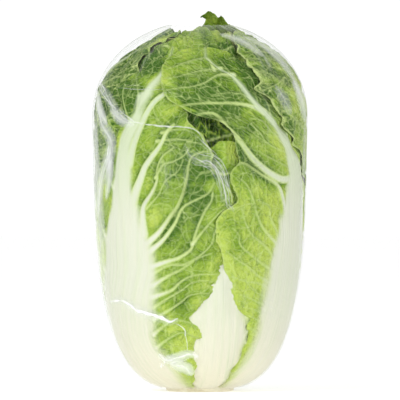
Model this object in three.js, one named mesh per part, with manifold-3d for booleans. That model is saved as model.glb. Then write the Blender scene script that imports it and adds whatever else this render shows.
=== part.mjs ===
// Napa cabbage head: a trimmed butt, eleven wrapper leaves in two rings, a tight heart and a stretch film sleeve.
// Millimetres, +Z up, origin at the centre of the cut face. Angles are in degrees round the head:
// 0 is the front (-Y), 90 the right (+X), 180 the back.
//
// Every leaf lies on one egg-shaped envelope. A place on it is an angle and an arc length up its side, and a
// depth measured inwards along its normal. Leaves are stacked from the outermost in: each lies under what
// covers it, so a leaf's depth is the room that the leaves over it take at that place.
import * as THREE from "three";
import Module from "manifold-3d";

// ---- Driving dimensions -------------------------------------------------------------------------------------
const HEIGHT = 296; // cut face to the crown of the film
const WIDTH = 173; // widest, side to side
const DEPTH_OVER_WIDTH = 0.95; // the head is a little flatter front to back
const WAIST = 220; // height of the widest place
const BASE_SQUARENESS = 3.4; // superellipse powers of the envelope below and above the waist
const CROWN_SQUARENESS = 2.05;
const TAPER = 0.05; // how much narrower the side is, per head height, below the waist

const BUTT_RADIUS = 27; // the trimmed stem
const CORE = { radius: 11, height: 37 }; // it tapers up into the core that the inner leaves grow from
const CUT_GAP = 0.35; // clearance where a piece meets the butt

const FILM = { thickness: 0.6, bottomRadius: 31, topRadius: 25, tipRadius: 58, tipAngle: 170, around: 26, along: 15 };
const UNDER_FILM = 1.8; // room for the film and its flat facets

const BLADE = 0.9; // thickness of the green blade
const BLADE_SET = 1.7; // how far the blade lies below the rib's crown
const RIB_CROWN = 0.8; // fall of the rib's outer face from its middle to its sides
const RIB_THICKNESS = [[2, 7], [80, 6.2], [150, 4.2], [220, 2.9], [296, 2.3]]; // by height
const RIB_SHOULDER = 5; // how far past its side the rib's thickness runs out
const VEIN_RELIEF = 0.5; // side veins stand this far out, and the blade between them lies as far in
const SCALLOP = 1.6; // and the leaf's edge reaches this much further where a side vein meets it
const PACKING_GAP = 2.8; // air between one leaf and the next
const COVER_LEVEL = 5; // a covered leaf stays down this far past the edge of the one on top,
const COVER_FADE = 38; // and has risen back by here
const BLUNT_TIP = 3; // half width left at a leaf's very tip
const RIB_CELLS = [-1, -0.5, 0, 0.5, 1];
const BLADE_CELLS = [0.13, 0.36, 0.6, 0.82, 1];
const SIDE_VEINS = 7; // on each half of an outer leaf
const HIDDEN_VEINS = 5; // and of one that others hide

const EYE = { angle: 8, height: 208, radius: 15, depth: 11 }; // hollow at the front, where inner leaves curl in
const HEART = { from: 34, around: 30, along: 18, laps: 5, lapRise: 2.2, poleRadius: 16, poleDepth: 24, clear: 1 };

// ---- Small helpers ------------------------------------------------------------------------------------------
const rad = THREE.MathUtils.degToRad;
const lerp = THREE.MathUtils.lerp;
const smooth = (x, from, to) => {
  const t = THREE.MathUtils.clamp((x - from) / (to - from), 0, 1);
  return t * t * (3 - 2 * t);
};
const turn = (angle, from) => THREE.MathUtils.euclideanModulo(angle - from + 180, 360) - 180;

// Smooth curve through (x, y) pairs, level past its ends.
function curve(pairs) {
  const slope = pairs.map((p, i) => {
    const before = pairs[Math.max(i - 1, 0)];
    const after = pairs[Math.min(i + 1, pairs.length - 1)];
    return (after[1] - before[1]) / (after[0] - before[0]);
  });
  return (x) => {
    if (x <= pairs[0][0]) return pairs[0][1];
    const i = pairs.findIndex((p) => p[0] > x) - 1;
    if (i < 0) return pairs[pairs.length - 1][1];
    const [x0, y0] = pairs[i];
    const [x1, y1] = pairs[i + 1];
    const h = x1 - x0;
    const t = (x - x0) / h;
    const t2 = t * t;
    const t3 = t2 * t;
    return (2 * t3 - 3 * t2 + 1) * y0 + (t3 - 2 * t2 + t) * h * slope[i]
      + (3 * t2 - 2 * t3) * y1 + (t3 - t2) * h * slope[i + 1];
  };
}

// ---- The envelope -------------------------------------------------------------------------------------------
const ENVELOPE = makeEnvelope(900);

function makeEnvelope(count) {
  const table = [];
  for (let i = 0; i <= count; i++) {
    const around = -Math.PI / 2 + (Math.PI * i) / count;
    const upper = around > 0;
    const power = upper ? CROWN_SQUARENESS : BASE_SQUARENESS;
    const reach = upper ? HEIGHT - WAIST : WAIST;
    const across = Math.abs(Math.cos(around)) / (WIDTH / 2);
    const along = Math.abs(Math.sin(around)) / reach;
    const scale = (across ** power + along ** power) ** (-1 / power);
    const rise = scale * Math.sin(around);
    const r = Math.max(scale * Math.cos(around), 0) * (1 + (TAPER * Math.min(rise, 0)) / HEIGHT);
    table.push({ r, z: WAIST + rise, arc: 0 });
  }
  table.forEach((p, i) => {
    if (i) p.arc = table[i - 1].arc + Math.hypot(p.r - table[i - 1].r, p.z - table[i - 1].z);
    const a = table[Math.max(i - 1, 0)];
    const b = table[Math.min(i + 1, count)];
    const step = Math.hypot(b.r - a.r, b.z - a.z);
    p.outR = (b.z - a.z) / step;
    p.outZ = (a.r - b.r) / step;
  });
  return table;
}

// The envelope's point by one of its rising columns: arc or z.
function envelopeAt(value, column = "arc") {
  const last = ENVELOPE.length - 1;
  const i = THREE.MathUtils.clamp(ENVELOPE.findIndex((p) => p[column] > value), 1, last);
  const [a, b] = value >= ENVELOPE[last][column] ? [ENVELOPE[last], ENVELOPE[last]] : [ENVELOPE[i - 1], ENVELOPE[i]];
  const t = a === b ? 0 : (value - a[column]) / (b[column] - a[column]);
  return Object.fromEntries(Object.keys(a).map((key) => [key, lerp(a[key], b[key], t)]));
}
const arcOf = (height) => envelopeAt(height, "z").arc;

function place(angle, arc, depth) {
  const e = envelopeAt(arc);
  const r = e.r - depth * e.outR;
  return [r * Math.sin(rad(angle)), -DEPTH_OVER_WIDTH * r * Math.cos(rad(angle)), e.z - depth * e.outZ];
}

// Arc lengths from one to another, closer together where the envelope bends.
function stationsBetween(from, to, cells) {
  const bend = [0];
  const steps = 300;
  const at = (i) => lerp(from, to, i / steps);
  for (let i = 1; i <= steps; i++) {
    const a = envelopeAt(at(i - 1));
    const b = envelopeAt(at(i));
    const angle = Math.acos(Math.min(1, a.outR * b.outR + a.outZ * b.outZ));
    bend.push(bend[i - 1] + Math.sqrt(angle / steps) + 0.6 / steps);
  }
  return Array.from({ length: cells + 1 }, (_, k) => {
    const wanted = (bend[steps] * k) / cells;
    const i = THREE.MathUtils.clamp(bend.findIndex((b) => b >= wanted), 1, steps);
    return at(i - 1 + (wanted - bend[i - 1]) / (bend[i] - bend[i - 1]));
  });
}

// ---- Leaves -------------------------------------------------------------------------------------------------
const WRAPPER = { round: 34, wave: 1.3, waves: 8, veins: SIDE_VEINS, blunt: BLUNT_TIP };

// A leaf's outline is rows of [height, angle of its low edge, of its midrib, of its high edge, midrib half width].
// veinsLow and veinsHigh are [height at the midrib, height at the edge] of its side veins.
const LEFT_FRONT = {
  ...WRAPPER, tip: 277, round: 24, wave: 1.1, waves: 7,
  rows: [
    [1.2, -88, -58, -30, 15], [12, -89, -56, -12, 20], [24, -88, -54, -5, 24], [40, -88, -53, 0, 27],
    [57, -90, -51, -3, 28], [73, -92, -50, 4, 28], [98, -95, -48, 14, 26], [121, -97, -46, 20, 23],
    [145, -98, -44, 21, 19], [169, -98, -41, 7, 14], [185, -97, -39, -3, 11], [200, -93, -36.5, -8, 8],
    [217, -87, -32.5, -9, 5.5], [241, -72, -27, -14, 4], [255, -60, -24, -16, 3], [270, -45, -22, -12, 2.2],
  ],
  veinsLow: [[30, 42], [60, 82], [88, 120], [112, 152], [138, 184], [165, 210], [192, 230], [220, 246], [245, 262]],
  veinsHigh: [
    [24, 26], [40, 46], [55, 62], [65, 79], [76, 98], [87, 128], [98, 150], [113, 168], [123, 186],
    [136, 202], [156, 217], [200, 242], [232, 260],
  ],
};
const RIGHT_FRONT = {
  ...WRAPPER, tip: 278, round: 17, wave: 1.1, waves: 8,
  rows: [
    [1.2, 30, 58, 90, 15], [12, 22, 59, 92, 20], [24, 25, 61, 93, 23], [40, 27, 63, 93, 26], [60, 26, 64, 93, 27],
    [73, 20, 65, 94, 26], [98, 15, 64, 96, 24], [121, 10, 60, 98, 19], [136, 9, 57, 98, 13.5],
    [150, 17, 55, 97, 10.5], [176, 18, 53.5, 93, 7], [193, 16, 49.5, 88, 5.5], [206, 13, 43.5, 82, 4.6],
    [217, 7, 38, 77, 4], [225, -7, 33, 72, 3.6], [234, -17, 28.5, 66, 3.2], [247, -23, 21.5, 58, 2.8],
    [258, -24.5, 14.5, 48, 2.4], [268, -24, 5, 38, 2],
  ],
  veinsLow: [
    [24, 22], [44, 38], [62, 56], [77, 80], [89, 98], [95, 113], [102, 130], [110, 148], [119, 163], [126, 179],
    [137, 188], [174, 214], [221, 228], [240, 236], [252, 243], [260, 253],
  ],
  veinsHigh: [[34, 44], [66, 84], [96, 122], [124, 158], [150, 188], [176, 212], [200, 230], [224, 246], [248, 262]],
};
const RIGHT_BACK = {
  ...WRAPPER, tip: 291, wave: 1.6, waves: 9,
  rows: [
    [1.2, 93, 122, 151, 15], [24, 93, 122, 151, 22], [60, 92, 123, 154, 24], [95, 86, 123, 162, 21],
    [129, 78, 122, 170, 17], [161, 67, 120, 175, 12], [193, 59, 117, 175, 8], [213, 52, 113, 171, 6],
    [227, 44, 109, 165, 5], [248, 33, 101, 152, 4], [265, 30, 92, 136, 3.2], [285, 34, 72, 112, 2],
  ],
};
const LEFT_BACK = {
  ...WRAPPER, tip: 291, wave: 1.6, waves: 9,
  rows: [
    [1.2, -147, -118, -91, 15], [24, -147, -118, -89, 22], [60, -149, -118, -87, 24], [95, -156, -118, -86, 21],
    [129, -162, -118, -85, 17], [161, -168, -117, -85, 12], [193, -169, -115, -84, 8], [225, -163, -110, -79, 5.5],
    [240, -155, -106, -74, 4.5], [263, -138, -95, -61, 3.2], [276, -125, -85, -50, 2.6], [285, -112, -76, -41, 2],
  ],
};
const FRONT_INNER = {
  ...WRAPPER, tip: 207, round: 26, wave: 0.8, waves: 5,
  rows: [
    [1.2, -20, 8, 37, 14], [20, -19, 8, 36, 19], [45, -19, 8, 35, 21], [80, -21, 8, 38, 19], [120, -27, 8, 43, 12],
    [150, -31, 8, 46, 7], [180, -26, 10, 42, 4.5], [200, -14, 11, 32, 2.5],
  ],
};

// An ordinary wrapper leaf, its midrib at one angle all the way up.
function plainLeaf(angle, tip, spread, lean = 0) {
  const halfAngles = [
    [1.2, 28, 14], [20, 28, 20], [50, 27, 23], [85, 32, 21], [130, 41, 15], [180, 49, 9], [225, 53, 5.5],
    [255, 52, 4], [275, 46, 3], [288, 40, 2.2], [294, 34, 2],
  ];
  return {
    ...WRAPPER, tip, veins: HIDDEN_VEINS,
    rows: halfAngles.filter(([height]) => height < tip).map(([height, half, rib]) => {
      const middle = angle + (lean * height) / HEIGHT;
      const wide = half * lerp(1, spread, smooth(height, 40, 160));
      return [height, middle - wide, middle, middle + wide, rib];
    }),
  };
}

// Outermost first.
const LEAVES = {
  leaf_back: { ...plainLeaf(180, 294.8, 0.96, -6), veins: SIDE_VEINS, blunt: 10, flag: true },
  leaf_right_back: RIGHT_BACK,
  leaf_left_back: LEFT_BACK,
  leaf_right_front: RIGHT_FRONT,
  leaf_left_front: LEFT_FRONT,
  leaf_front_inner: FRONT_INNER,
  leaf_front_crown: { ...plainLeaf(4, 292, 0.86, -4), eye: true },
  leaf_right_inner: { ...plainLeaf(86, 286, 0.9, -8), eye: true },
  leaf_left_inner: { ...plainLeaf(-88, 287, 0.9, 10), eye: true },
  leaf_right_back_inner: plainLeaf(150, 285, 0.85, 4),
  leaf_left_back_inner: plainLeaf(-148, 284, 0.85, -6),
};
// The back leaf's tip stands up through the film, leans to the right and is lower on that side.
const FLAG = { from: 26, rise: 10.5, towards: 8, slope: 0.25 };

const ribThickness = curve(RIB_THICKNESS.map(([height, thickness]) => [arcOf(height), thickness]));

// Turns a leaf's rows into curves over arc length.
function layOut(leaf) {
  const column = (i) => curve(leaf.rows.map((row) => [arcOf(row[0]), row[i]]));
  const low = column(1);
  const mid = column(2);
  const high = column(3);
  const start = arcOf(leaf.rows[0][0]);
  const end = arcOf(leaf.tip);
  const narrow = (edge) => (arc) => {
    const past = THREE.MathUtils.clamp((arc - (end - leaf.round)) / leaf.round, 0, 1);
    const full = edge(arc) - mid(arc);
    const least = THREE.MathUtils.radToDeg(leaf.blunt / Math.max(envelopeAt(arc).r, leaf.blunt));
    return mid(arc) + Math.sign(full) * Math.max(Math.abs(full) * Math.sqrt(1 - past ** 2), least);
  };
  return { ...leaf, start, end, mid, low: narrow(low), high: narrow(high), rib: column(4) };
}

// Depth of a leaf's outer and inner face below what covers it.
function faces(leaf, angle, arc) {
  const side = Math.abs(turn(angle, leaf.mid(arc))) * rad(1) * envelopeAt(arc).r;
  const half = leaf.rib(arc);
  const crown = RIB_CROWN * Math.min(side / half, 1) ** 2;
  const outer = lerp(crown, BLADE_SET, smooth(side, half, half + RIB_SHOULDER));
  const rib = ribThickness(arc) * (1 - 0.25 * Math.min(side / half, 1) ** 4);
  const inner = lerp(rib, BLADE_SET + BLADE, smooth(side, half, half + RIB_SHOULDER));
  return { outer, inner: Math.max(inner, outer + BLADE) };
}

// Room that one leaf takes from those under it.
function cover(leaf, angle, arc) {
  const r = envelopeAt(arc).r;
  const fromLow = turn(angle, leaf.low(arc)) * rad(1) * r;
  const toHigh = turn(leaf.high(arc), angle) * rad(1) * r;
  const inside = Math.min(fromLow, toHigh, leaf.end - arc);
  const within = smooth(inside, -COVER_FADE, -COVER_LEVEL);
  if (!within) return 0;
  const side = Math.abs(turn(angle, leaf.mid(arc))) * rad(1) * r - leaf.rib(arc);
  const full = Math.max(ribThickness(arc), BLADE_SET + BLADE + leaf.wave);
  return within * (lerp(full, BLADE_SET + BLADE + leaf.wave, smooth(side, 1, 20)) + PACKING_GAP);
}

const hollow = (angle, arc) => {
  const across = turn(angle, EYE.angle) * rad(1) * envelopeAt(arc).r;
  const up = arc - arcOf(EYE.height);
  return EYE.depth * Math.exp(-(across ** 2 + up ** 2) / (2 * EYE.radius ** 2));
};

// Side veins as [arc at the midrib, arc at the edge], with a row between each two, from base to tip.
function rowsOf(leaf, side) {
  const given = side < 0 ? leaf.veinsLow : leaf.veinsHigh;
  let veins = given?.map(([rib, edge]) => [arcOf(rib), arcOf(edge)]);
  if (!veins) {
    const stations = stationsBetween(leaf.start, leaf.end, leaf.veins + 1).slice(1, -1);
    const length = leaf.end - leaf.start;
    veins = stations.map((arc) => {
      const t = (arc - leaf.start) / length;
      return [arc - 0.05 * length * (1 - t), arc + 0.28 * length * t ** 0.7 * (1 - t)];
    });
  }
  const path = [[leaf.start, leaf.start], ...veins, [leaf.end, leaf.end]];
  const share = path.map((_, i) => i / (path.length - 1));
  return {
    rib: curve(path.map((p, i) => [share[i], p[0]])),
    edge: curve(path.map((p, i) => [share[i], p[1]])),
    count: path.length - 1,
  };
}

// The grid of [angle, arc, relief] over one leaf, row by row from base to tip.
function leafGrid(leaf) {
  const sides = { [-1]: rowsOf(leaf, -1), [1]: rowsOf(leaf, 1) };
  const cells = 2 * Math.max(sides[-1].count, sides[1].count);
  const grid = [];
  for (let i = 0; i <= cells; i++) {
    const share = i / cells;
    const blade = (side, t) => {
      const { rib, edge, count } = sides[side];
      const from = rib(share);
      const to = edge(share);
      const start = leaf.mid(from) + (side * THREE.MathUtils.radToDeg(leaf.rib(from))) / envelopeAt(from).r;
      const ends = Math.sin(Math.PI * share) ** 0.4;
      const atVein = Math.cos(2 * Math.PI * share * count) * ends;
      const scallop = (side * THREE.MathUtils.radToDeg(SCALLOP * atVein)) / envelopeAt(to).r;
      const end = (side < 0 ? leaf.low : leaf.high)(to) + scallop;
      const arc = lerp(from, to, t ** 1.1);
      const raised = VEIN_RELIEF * atVein * Math.sin(Math.PI * Math.min(t, 0.9)) ** 0.5;
      const wave = leaf.wave * t ** 2 * Math.sin(Math.PI * leaf.waves * share + side) * ends;
      return [lerp(start, end, t), arc, wave - raised];
    };
    const middle = (side) => sides[side].rib(share);
    const ribRow = RIB_CELLS.map((q) => {
      const arc = lerp(middle(-1), middle(1), (q + 1) / 2);
      return [leaf.mid(arc) + (q * THREE.MathUtils.radToDeg(leaf.rib(arc))) / envelopeAt(arc).r, arc, 0];
    });
    grid.push([
      ...BLADE_CELLS.toReversed().map((t) => blade(-1, t)),
      ...ribRow,
      ...BLADE_CELLS.map((t) => blade(1, t)),
    ]);
  }
  return grid;
}

// ---- Solids -------------------------------------------------------------------------------------------------
const wasm = await Module();
wasm.setup();

function solidOf(vertices, triangles) {
  return new wasm.Manifold(new wasm.Mesh({
    numProp: 3, vertProperties: Float32Array.from(vertices.flat()), triVerts: Uint32Array.from(triangles.flat()),
  }));
}

// A cut can leave a loose scrap beside the piece, so only the piece is kept.
function cut(solid, tool) {
  const bodies = solid.subtract(tool).decompose();
  return bodies.reduce((largest, body) => (body.volume() > largest.volume() ? body : largest));
}

function geometryOf(solid) {
  const { vertProperties, triVerts } = solid.getMesh();
  const flat = new THREE.BufferGeometry()
    .setAttribute("position", new THREE.BufferAttribute(vertProperties, 3))
    .setIndex(new THREE.BufferAttribute(triVerts, 1))
    .toNonIndexed();
  flat.computeVertexNormals();
  return flat;
}

// A closed sheet between two faces given as equal grids of points. Both faces are split alike.
function sheetSolid(outer, inner, ring = false) {
  const rows = outer.length;
  const columns = outer[0].length;
  const index = (i, j) => i * columns + (j % columns);
  const back = rows * columns;
  const wide = ring ? columns : columns - 1;
  const triangles = [];
  const quad = (a, b, c, d) => triangles.push([a, b, c], [a, c, d]);
  for (let i = 0; i < rows - 1; i++) {
    for (let j = 0; j < wide; j++) {
      const [a, b, c, d] = [index(i, j), index(i, j + 1), index(i + 1, j + 1), index(i + 1, j)];
      quad(a, b, c, d);
      triangles.push([back + a, back + c, back + b], [back + a, back + d, back + c]);
    }
  }
  const wall = (a, b) => quad(a, back + a, back + b, b);
  for (let j = 0; j < wide; j++) {
    wall(index(0, j), index(0, j + 1));
    wall(index(rows - 1, j + 1), index(rows - 1, j));
  }
  for (let i = 0; i < rows - 1 && !ring; i++) {
    wall(index(i + 1, 0), index(i, 0));
    wall(index(i, columns - 1), index(i + 1, columns - 1));
  }
  return solidOf([...outer.flat(), ...inner.flat()], triangles);
}

function lathe(profile, segments) {
  const points = profile.map(([r, z]) => new THREE.Vector2(r, z));
  const made = new THREE.LatheGeometry(points, segments);
  made.rotateX(Math.PI / 2);
  made.scale(1, DEPTH_OVER_WIDTH, 1);
  const vertices = [];
  const keys = new Map();
  const position = made.getAttribute("position");
  const shared = Array.from({ length: position.count }, (_, i) => {
    const point = [position.getX(i), position.getY(i), position.getZ(i)];
    const key = point.map((x) => Math.round(x * 1000)).join();
    if (!keys.has(key)) keys.set(key, vertices.push(point) - 1);
    return keys.get(key);
  });
  const triangles = [];
  for (let i = 0; i < made.index.count; i += 3) {
    const corner = [0, 1, 2].map((k) => shared[made.index.getX(i + k)]);
    if (new Set(corner).size === 3) triangles.push(corner);
  }
  return solidOf(vertices, triangles);
}

const buttProfile = (clear) => [
  [0, -clear], [BUTT_RADIUS + clear, -clear], [BUTT_RADIUS + 0.6 + clear, 4], [BUTT_RADIUS - 1 + clear, 14],
  [lerp(BUTT_RADIUS, CORE.radius, 0.45) + clear, 26], [CORE.radius + clear, CORE.height + clear],
  [0, CORE.height + clear],
];
const buttSolid = lathe(buttProfile(0), 32);
const buttRoom = lathe(buttProfile(CUT_GAP), 32);

function leafSolid(leaf, above) {
  const covered = (angle, arc) => UNDER_FILM + above.reduce((sum, other) => sum + cover(other, angle, arc), 0)
    + (leaf.eye ? hollow(angle, arc) : 0);
  const lift = (point, arc) => {
    if (!leaf.flag) return point;
    const up = smooth(arc, leaf.end - FLAG.from, leaf.end);
    return [point[0] + FLAG.towards * up, point[1], point[2] + (FLAG.rise - FLAG.slope * point[0]) * up];
  };
  const face = (which) => leafGrid(leaf).map((row) => row.map(([angle, arc, relief]) => {
    const depth = covered(angle, arc) + faces(leaf, angle, arc)[which] + relief;
    return lift(place(angle, arc, depth), arc);
  }));
  return cut(sheetSolid(face("outer"), face("inner")), buttRoom);
}

// The tight inner leaves, as one body whose surface steps where each leaf laps over the next.
function heartSolid(leaves) {
  const stations = stationsBetween(arcOf(HEART.from), ENVELOPE.at(-1).arc, HEART.along).slice(0, -1);
  const vertices = [];
  const depthAt = (angle, arc) => {
    const total = UNDER_FILM + HEART.clear + hollow(angle, arc)
      + leaves.reduce((sum, leaf) => sum + cover(leaf, angle, arc), 0);
    const lap = THREE.MathUtils.euclideanModulo((HEART.laps * angle) / 360 + arc / 150, 1);
    const near = smooth(envelopeAt(arc).r, HEART.poleRadius * 2.2, HEART.poleRadius);
    return lerp(total + HEART.lapRise * lap, HEART.poleDepth, near);
  };
  const columns = HEART.around;
  for (const arc of stations) {
    for (let j = 0; j < columns; j++) {
      const angle = (360 * j) / columns;
      vertices.push(place(angle, arc, depthAt(angle, arc)));
    }
  }
  const triangles = [];
  const index = (i, j) => i * columns + (j % columns);
  for (let i = 0; i < stations.length - 1; i++) {
    for (let j = 0; j < columns; j++) {
      triangles.push([index(i, j), index(i, j + 1), index(i + 1, j + 1)]);
      triangles.push([index(i, j), index(i + 1, j + 1), index(i + 1, j)]);
    }
  }
  const ringHeight = (i) => vertices.slice(i * columns, (i + 1) * columns)
    .reduce((sum, v) => sum + v[2], 0) / columns;
  const bottom = vertices.push([0, 0, ringHeight(0)]) - 1;
  const top = vertices.push([0, 0, ringHeight(stations.length - 1) + 1]) - 1;
  for (let j = 0; j < columns; j++) {
    triangles.push([index(0, j + 1), index(0, j), bottom]);
    triangles.push([index(stations.length - 1, j), index(stations.length - 1, j + 1), top]);
  }
  return cut(solidOf(vertices, triangles), buttRoom);
}

// The film is a sleeve: it is open round the butt, and at the top it is cut back where the tip stands out.
function filmSolid() {
  const waist = arcOf(WAIST);
  const arcAtRadius = (radius, low, high) => {
    const rising = envelopeAt(low).r < envelopeAt(high).r;
    for (let i = 0; i < 30; i++) {
      const middle = (low + high) / 2;
      if ((envelopeAt(middle).r < radius) === rising) low = middle;
      else high = middle;
    }
    return low;
  };
  const columns = Array.from({ length: FILM.around }, (_, j) => {
    const angle = (360 * j) / FILM.around;
    const notch = 1 - smooth(Math.abs(turn(angle, FILM.tipAngle)), 25, 75);
    const from = arcAtRadius(FILM.bottomRadius, 0, waist);
    const to = arcAtRadius(lerp(FILM.topRadius, FILM.tipRadius, notch), waist, ENVELOPE.at(-1).arc);
    return stationsBetween(from, to, FILM.along).map((arc) => [angle, arc]);
  });
  const face = (depth) => columns[0].map((_, i) => columns.map((column) => place(...column[i], depth)));
  return sheetSolid(face(0), face(FILM.thickness), true);
}

// ---- The object ---------------------------------------------------------------------------------------------
const MATERIALS = {
  outer: new THREE.MeshStandardMaterial({ color: 0xa9c46c, roughness: 0.5 }),
  inner: new THREE.MeshStandardMaterial({ color: 0xc6d98c, roughness: 0.5 }),
  heart: new THREE.MeshStandardMaterial({ color: 0xdfe59a, roughness: 0.55 }),
  butt: new THREE.MeshStandardMaterial({ color: 0xefe7cf, roughness: 0.7 }),
  film: new THREE.MeshStandardMaterial({ color: 0xf4f8fa, roughness: 0.08, transparent: true, opacity: 0.16 }),
};

const cabbage = new THREE.Group();

function add(name, solid, material) {
  const mesh = new THREE.Mesh(geometryOf(solid), material);
  mesh.name = name;
  cabbage.add(mesh);
}

add("butt", buttSolid, MATERIALS.butt);
const laid = [];
for (const [name, spec] of Object.entries(LEAVES)) {
  const leaf = layOut(spec);
  add(name, leafSolid(leaf, laid), name.includes("inner") ? MATERIALS.inner : MATERIALS.outer);
  laid.push(leaf);
}
add("heart", heartSolid(laid), MATERIALS.heart);
add("film", filmSolid(), MATERIALS.film);

export default cabbage;
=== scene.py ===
"""Dresses a napa cabbage: its trimmed butt, crinkled wrapper leaves, tight heart and film sleeve.

Lengths are millimetres while a piece is worked out and metres in its mesh. Angles are degrees round
the head: 0 is the front (-Y), 90 the right (+X), 180 the back. A place on the head is an angle and
an arc length up its side, and a depth measured inwards from the film.
"""

import logging
import math
from collections.abc import Callable
from dataclasses import dataclass, field
from enum import Enum
from typing import Any

import bmesh
import bpy
import numpy as np
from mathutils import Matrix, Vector


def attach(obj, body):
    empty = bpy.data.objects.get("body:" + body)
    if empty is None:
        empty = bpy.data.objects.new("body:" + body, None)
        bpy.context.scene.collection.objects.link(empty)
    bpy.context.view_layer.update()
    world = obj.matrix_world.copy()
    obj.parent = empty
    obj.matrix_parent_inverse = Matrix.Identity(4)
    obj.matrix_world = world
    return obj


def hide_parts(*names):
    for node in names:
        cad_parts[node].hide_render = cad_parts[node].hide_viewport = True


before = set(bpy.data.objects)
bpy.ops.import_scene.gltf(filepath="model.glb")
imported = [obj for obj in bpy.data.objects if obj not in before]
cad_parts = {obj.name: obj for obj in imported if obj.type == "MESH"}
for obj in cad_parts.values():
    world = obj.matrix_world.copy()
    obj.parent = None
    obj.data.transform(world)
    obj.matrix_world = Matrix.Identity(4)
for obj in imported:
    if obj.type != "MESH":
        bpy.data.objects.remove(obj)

LOG = logging.getLogger("cabbage")

MM = 0.001
BODY = "root"
MERGE = 1e-6

# The head: its size, the height where it is widest and how square its side profile is on each side of it.
HEIGHT = 296.0
WIDTH = 173.0
DEPTH_OVER_WIDTH = 0.95
WAIST = 220.0
BASE_SQUARENESS = 3.4
CROWN_SQUARENESS = 2.05
TAPER = 0.05

# The leaves keep this far below the film, and further where they are slack: (angle, height, size, depth).
UNDER_FILM = 0.6
SLACK = ((-75, 273, 26, 5.2), (-95, 283, 22, 4.0), (75, 282, 24, 2.5), (172, 280, 26, 2.5))

# Through a leaf: the blade's thickness and how far it lies below the rib, the rib's crown, the width of the
# shoulder between them, and (height, thickness) rows of the rib.
BLADE = 0.5
BLADE_SET = 0.9
RIB_CROWN = 0.8
RIB_SHOULDER = 5.0
RIB_THICKNESS = ((1.2, 1.0), (14, 3.4), (50, 5.8), (80, 6.2), (150, 4.2), (220, 2.9), (296, 2.3))

# Between two leaves: the gap, and how far the low part of an edge presses onto the leaf below.
GAP = 0.3
LEAST_GAP = 0.15
PRESS = 2.1

# The narrowest circle round the axis on which a width is still turned into an angle.
POLE = 6.0
NEAR_POLE = 8.0

Points = tuple[tuple[float, ...], ...]
Triple = tuple[float, float, float]
Colour = Triple


# ---- Numbers over a surface ----


def smooth(x: np.ndarray, start: float, end: float) -> np.ndarray:
    """Returns 0 before start, 1 past end and an S-shaped rise between them."""
    t = np.clip((x - start) / (end - start), 0, 1)
    return t * t * (3 - 2 * t)


def blend(start: Any, end: Any, share: Any) -> Any:
    """Returns the value that lies at share of the way from start to end."""
    return start + (end - start) * share


def turned(angle: Any, at: float) -> Any:
    """Returns how far an angle is from another, from -180 to 180 degrees."""
    return (angle - at + 180) % 360 - 180


class Curve:
    """A smooth curve through points, level past its ends."""

    def __init__(self, x: Any, y: Any) -> None:
        """Keeps the points and works out a slope at each.

        Args:
            x: the rising places along the curve.
            y: the curve's value at each.
        """
        self.x = np.asarray(x, float)
        self.y = np.asarray(y, float)
        before = np.maximum(np.arange(len(self.x)) - 1, 0)
        after = np.minimum(np.arange(len(self.x)) + 1, len(self.x) - 1)
        self.slope = (self.y[after] - self.y[before]) / (self.x[after] - self.x[before])

    def __call__(self, x: Any) -> np.ndarray:
        """Returns the curve's value at x, a number or an array."""
        x = np.clip(x, self.x[0], self.x[-1])
        i = np.clip(np.searchsorted(self.x, x, side="right") - 1, 0, len(self.x) - 2)
        h = self.x[i + 1] - self.x[i]
        t = (x - self.x[i]) / h
        return (
            (2 * t**3 - 3 * t**2 + 1) * self.y[i]
            + (t**3 - 2 * t**2 + t) * h * self.slope[i]
            + (3 * t**2 - 2 * t**3) * self.y[i + 1]
            + (t**3 - t**2) * h * self.slope[i + 1]
        )


def swell(x: np.ndarray, y: np.ndarray, length: float, seed: int) -> np.ndarray:
    """Works out smooth random swells over a plane, as a sum of waves in random directions.

    Args:
        x: first coordinate.
        y: second coordinate, in the same unit.
        length: the swells' usual wavelength.
        seed: picks the pattern.

    Returns:
        Values that are mostly between -1 and 1.
    """
    waves, shortest, longest, usual_peak = 7, 0.7, 1.5, 3.2
    rng = np.random.default_rng(seed)
    total = np.zeros(np.broadcast(x, y).shape)
    for heading in rng.random(waves) * 2 * math.pi:
        wave = 2 * math.pi / (length * rng.uniform(shortest, longest))
        total += np.sin(wave * (x * math.cos(heading) + y * math.sin(heading)) + rng.uniform(0, 6.28))
    return total / usual_peak


def cell_edge(x: np.ndarray, y: np.ndarray, seed: int) -> np.ndarray:
    """Splits a plane into random cells about 1 across.

    Args:
        x: first coordinate.
        y: second coordinate.
        seed: picks the pattern.

    Returns:
        The distance from each place to the nearest border between two cells.
    """
    repeat, inset, far, same = 128, 0.08, 9.0, 1e-6
    jitter = np.random.default_rng(seed).uniform(inset, 1 - inset, (repeat, repeat, 2))
    column, row = np.floor(x).astype(int), np.floor(y).astype(int)
    seeds = []
    for dx in (-1, 0, 1):
        for dy in (-1, 0, 1):
            shift = jitter[(column + dx) % repeat, (row + dy) % repeat]
            seeds.append((column + dx + shift[..., 0] - x, row + dy + shift[..., 1] - y))
    reach = np.array([np.hypot(*s) for s in seeds])
    near = np.argmin(reach, axis=0)
    near_x = np.choose(near, [s[0] for s in seeds])
    near_y = np.choose(near, [s[1] for s in seeds])
    edge = np.full(reach.shape[1:], far)
    for seed_x, seed_y in seeds:
        apart = np.hypot(seed_x - near_x, seed_y - near_y)
        middle = (near_x + seed_x) * (seed_x - near_x) + (near_y + seed_y) * (seed_y - near_y)
        edge = np.where(apart > same, np.minimum(edge, middle / (2 * np.maximum(apart, same))), edge)
    return edge


# ---- The head's outside and the room inside it ----


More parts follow.
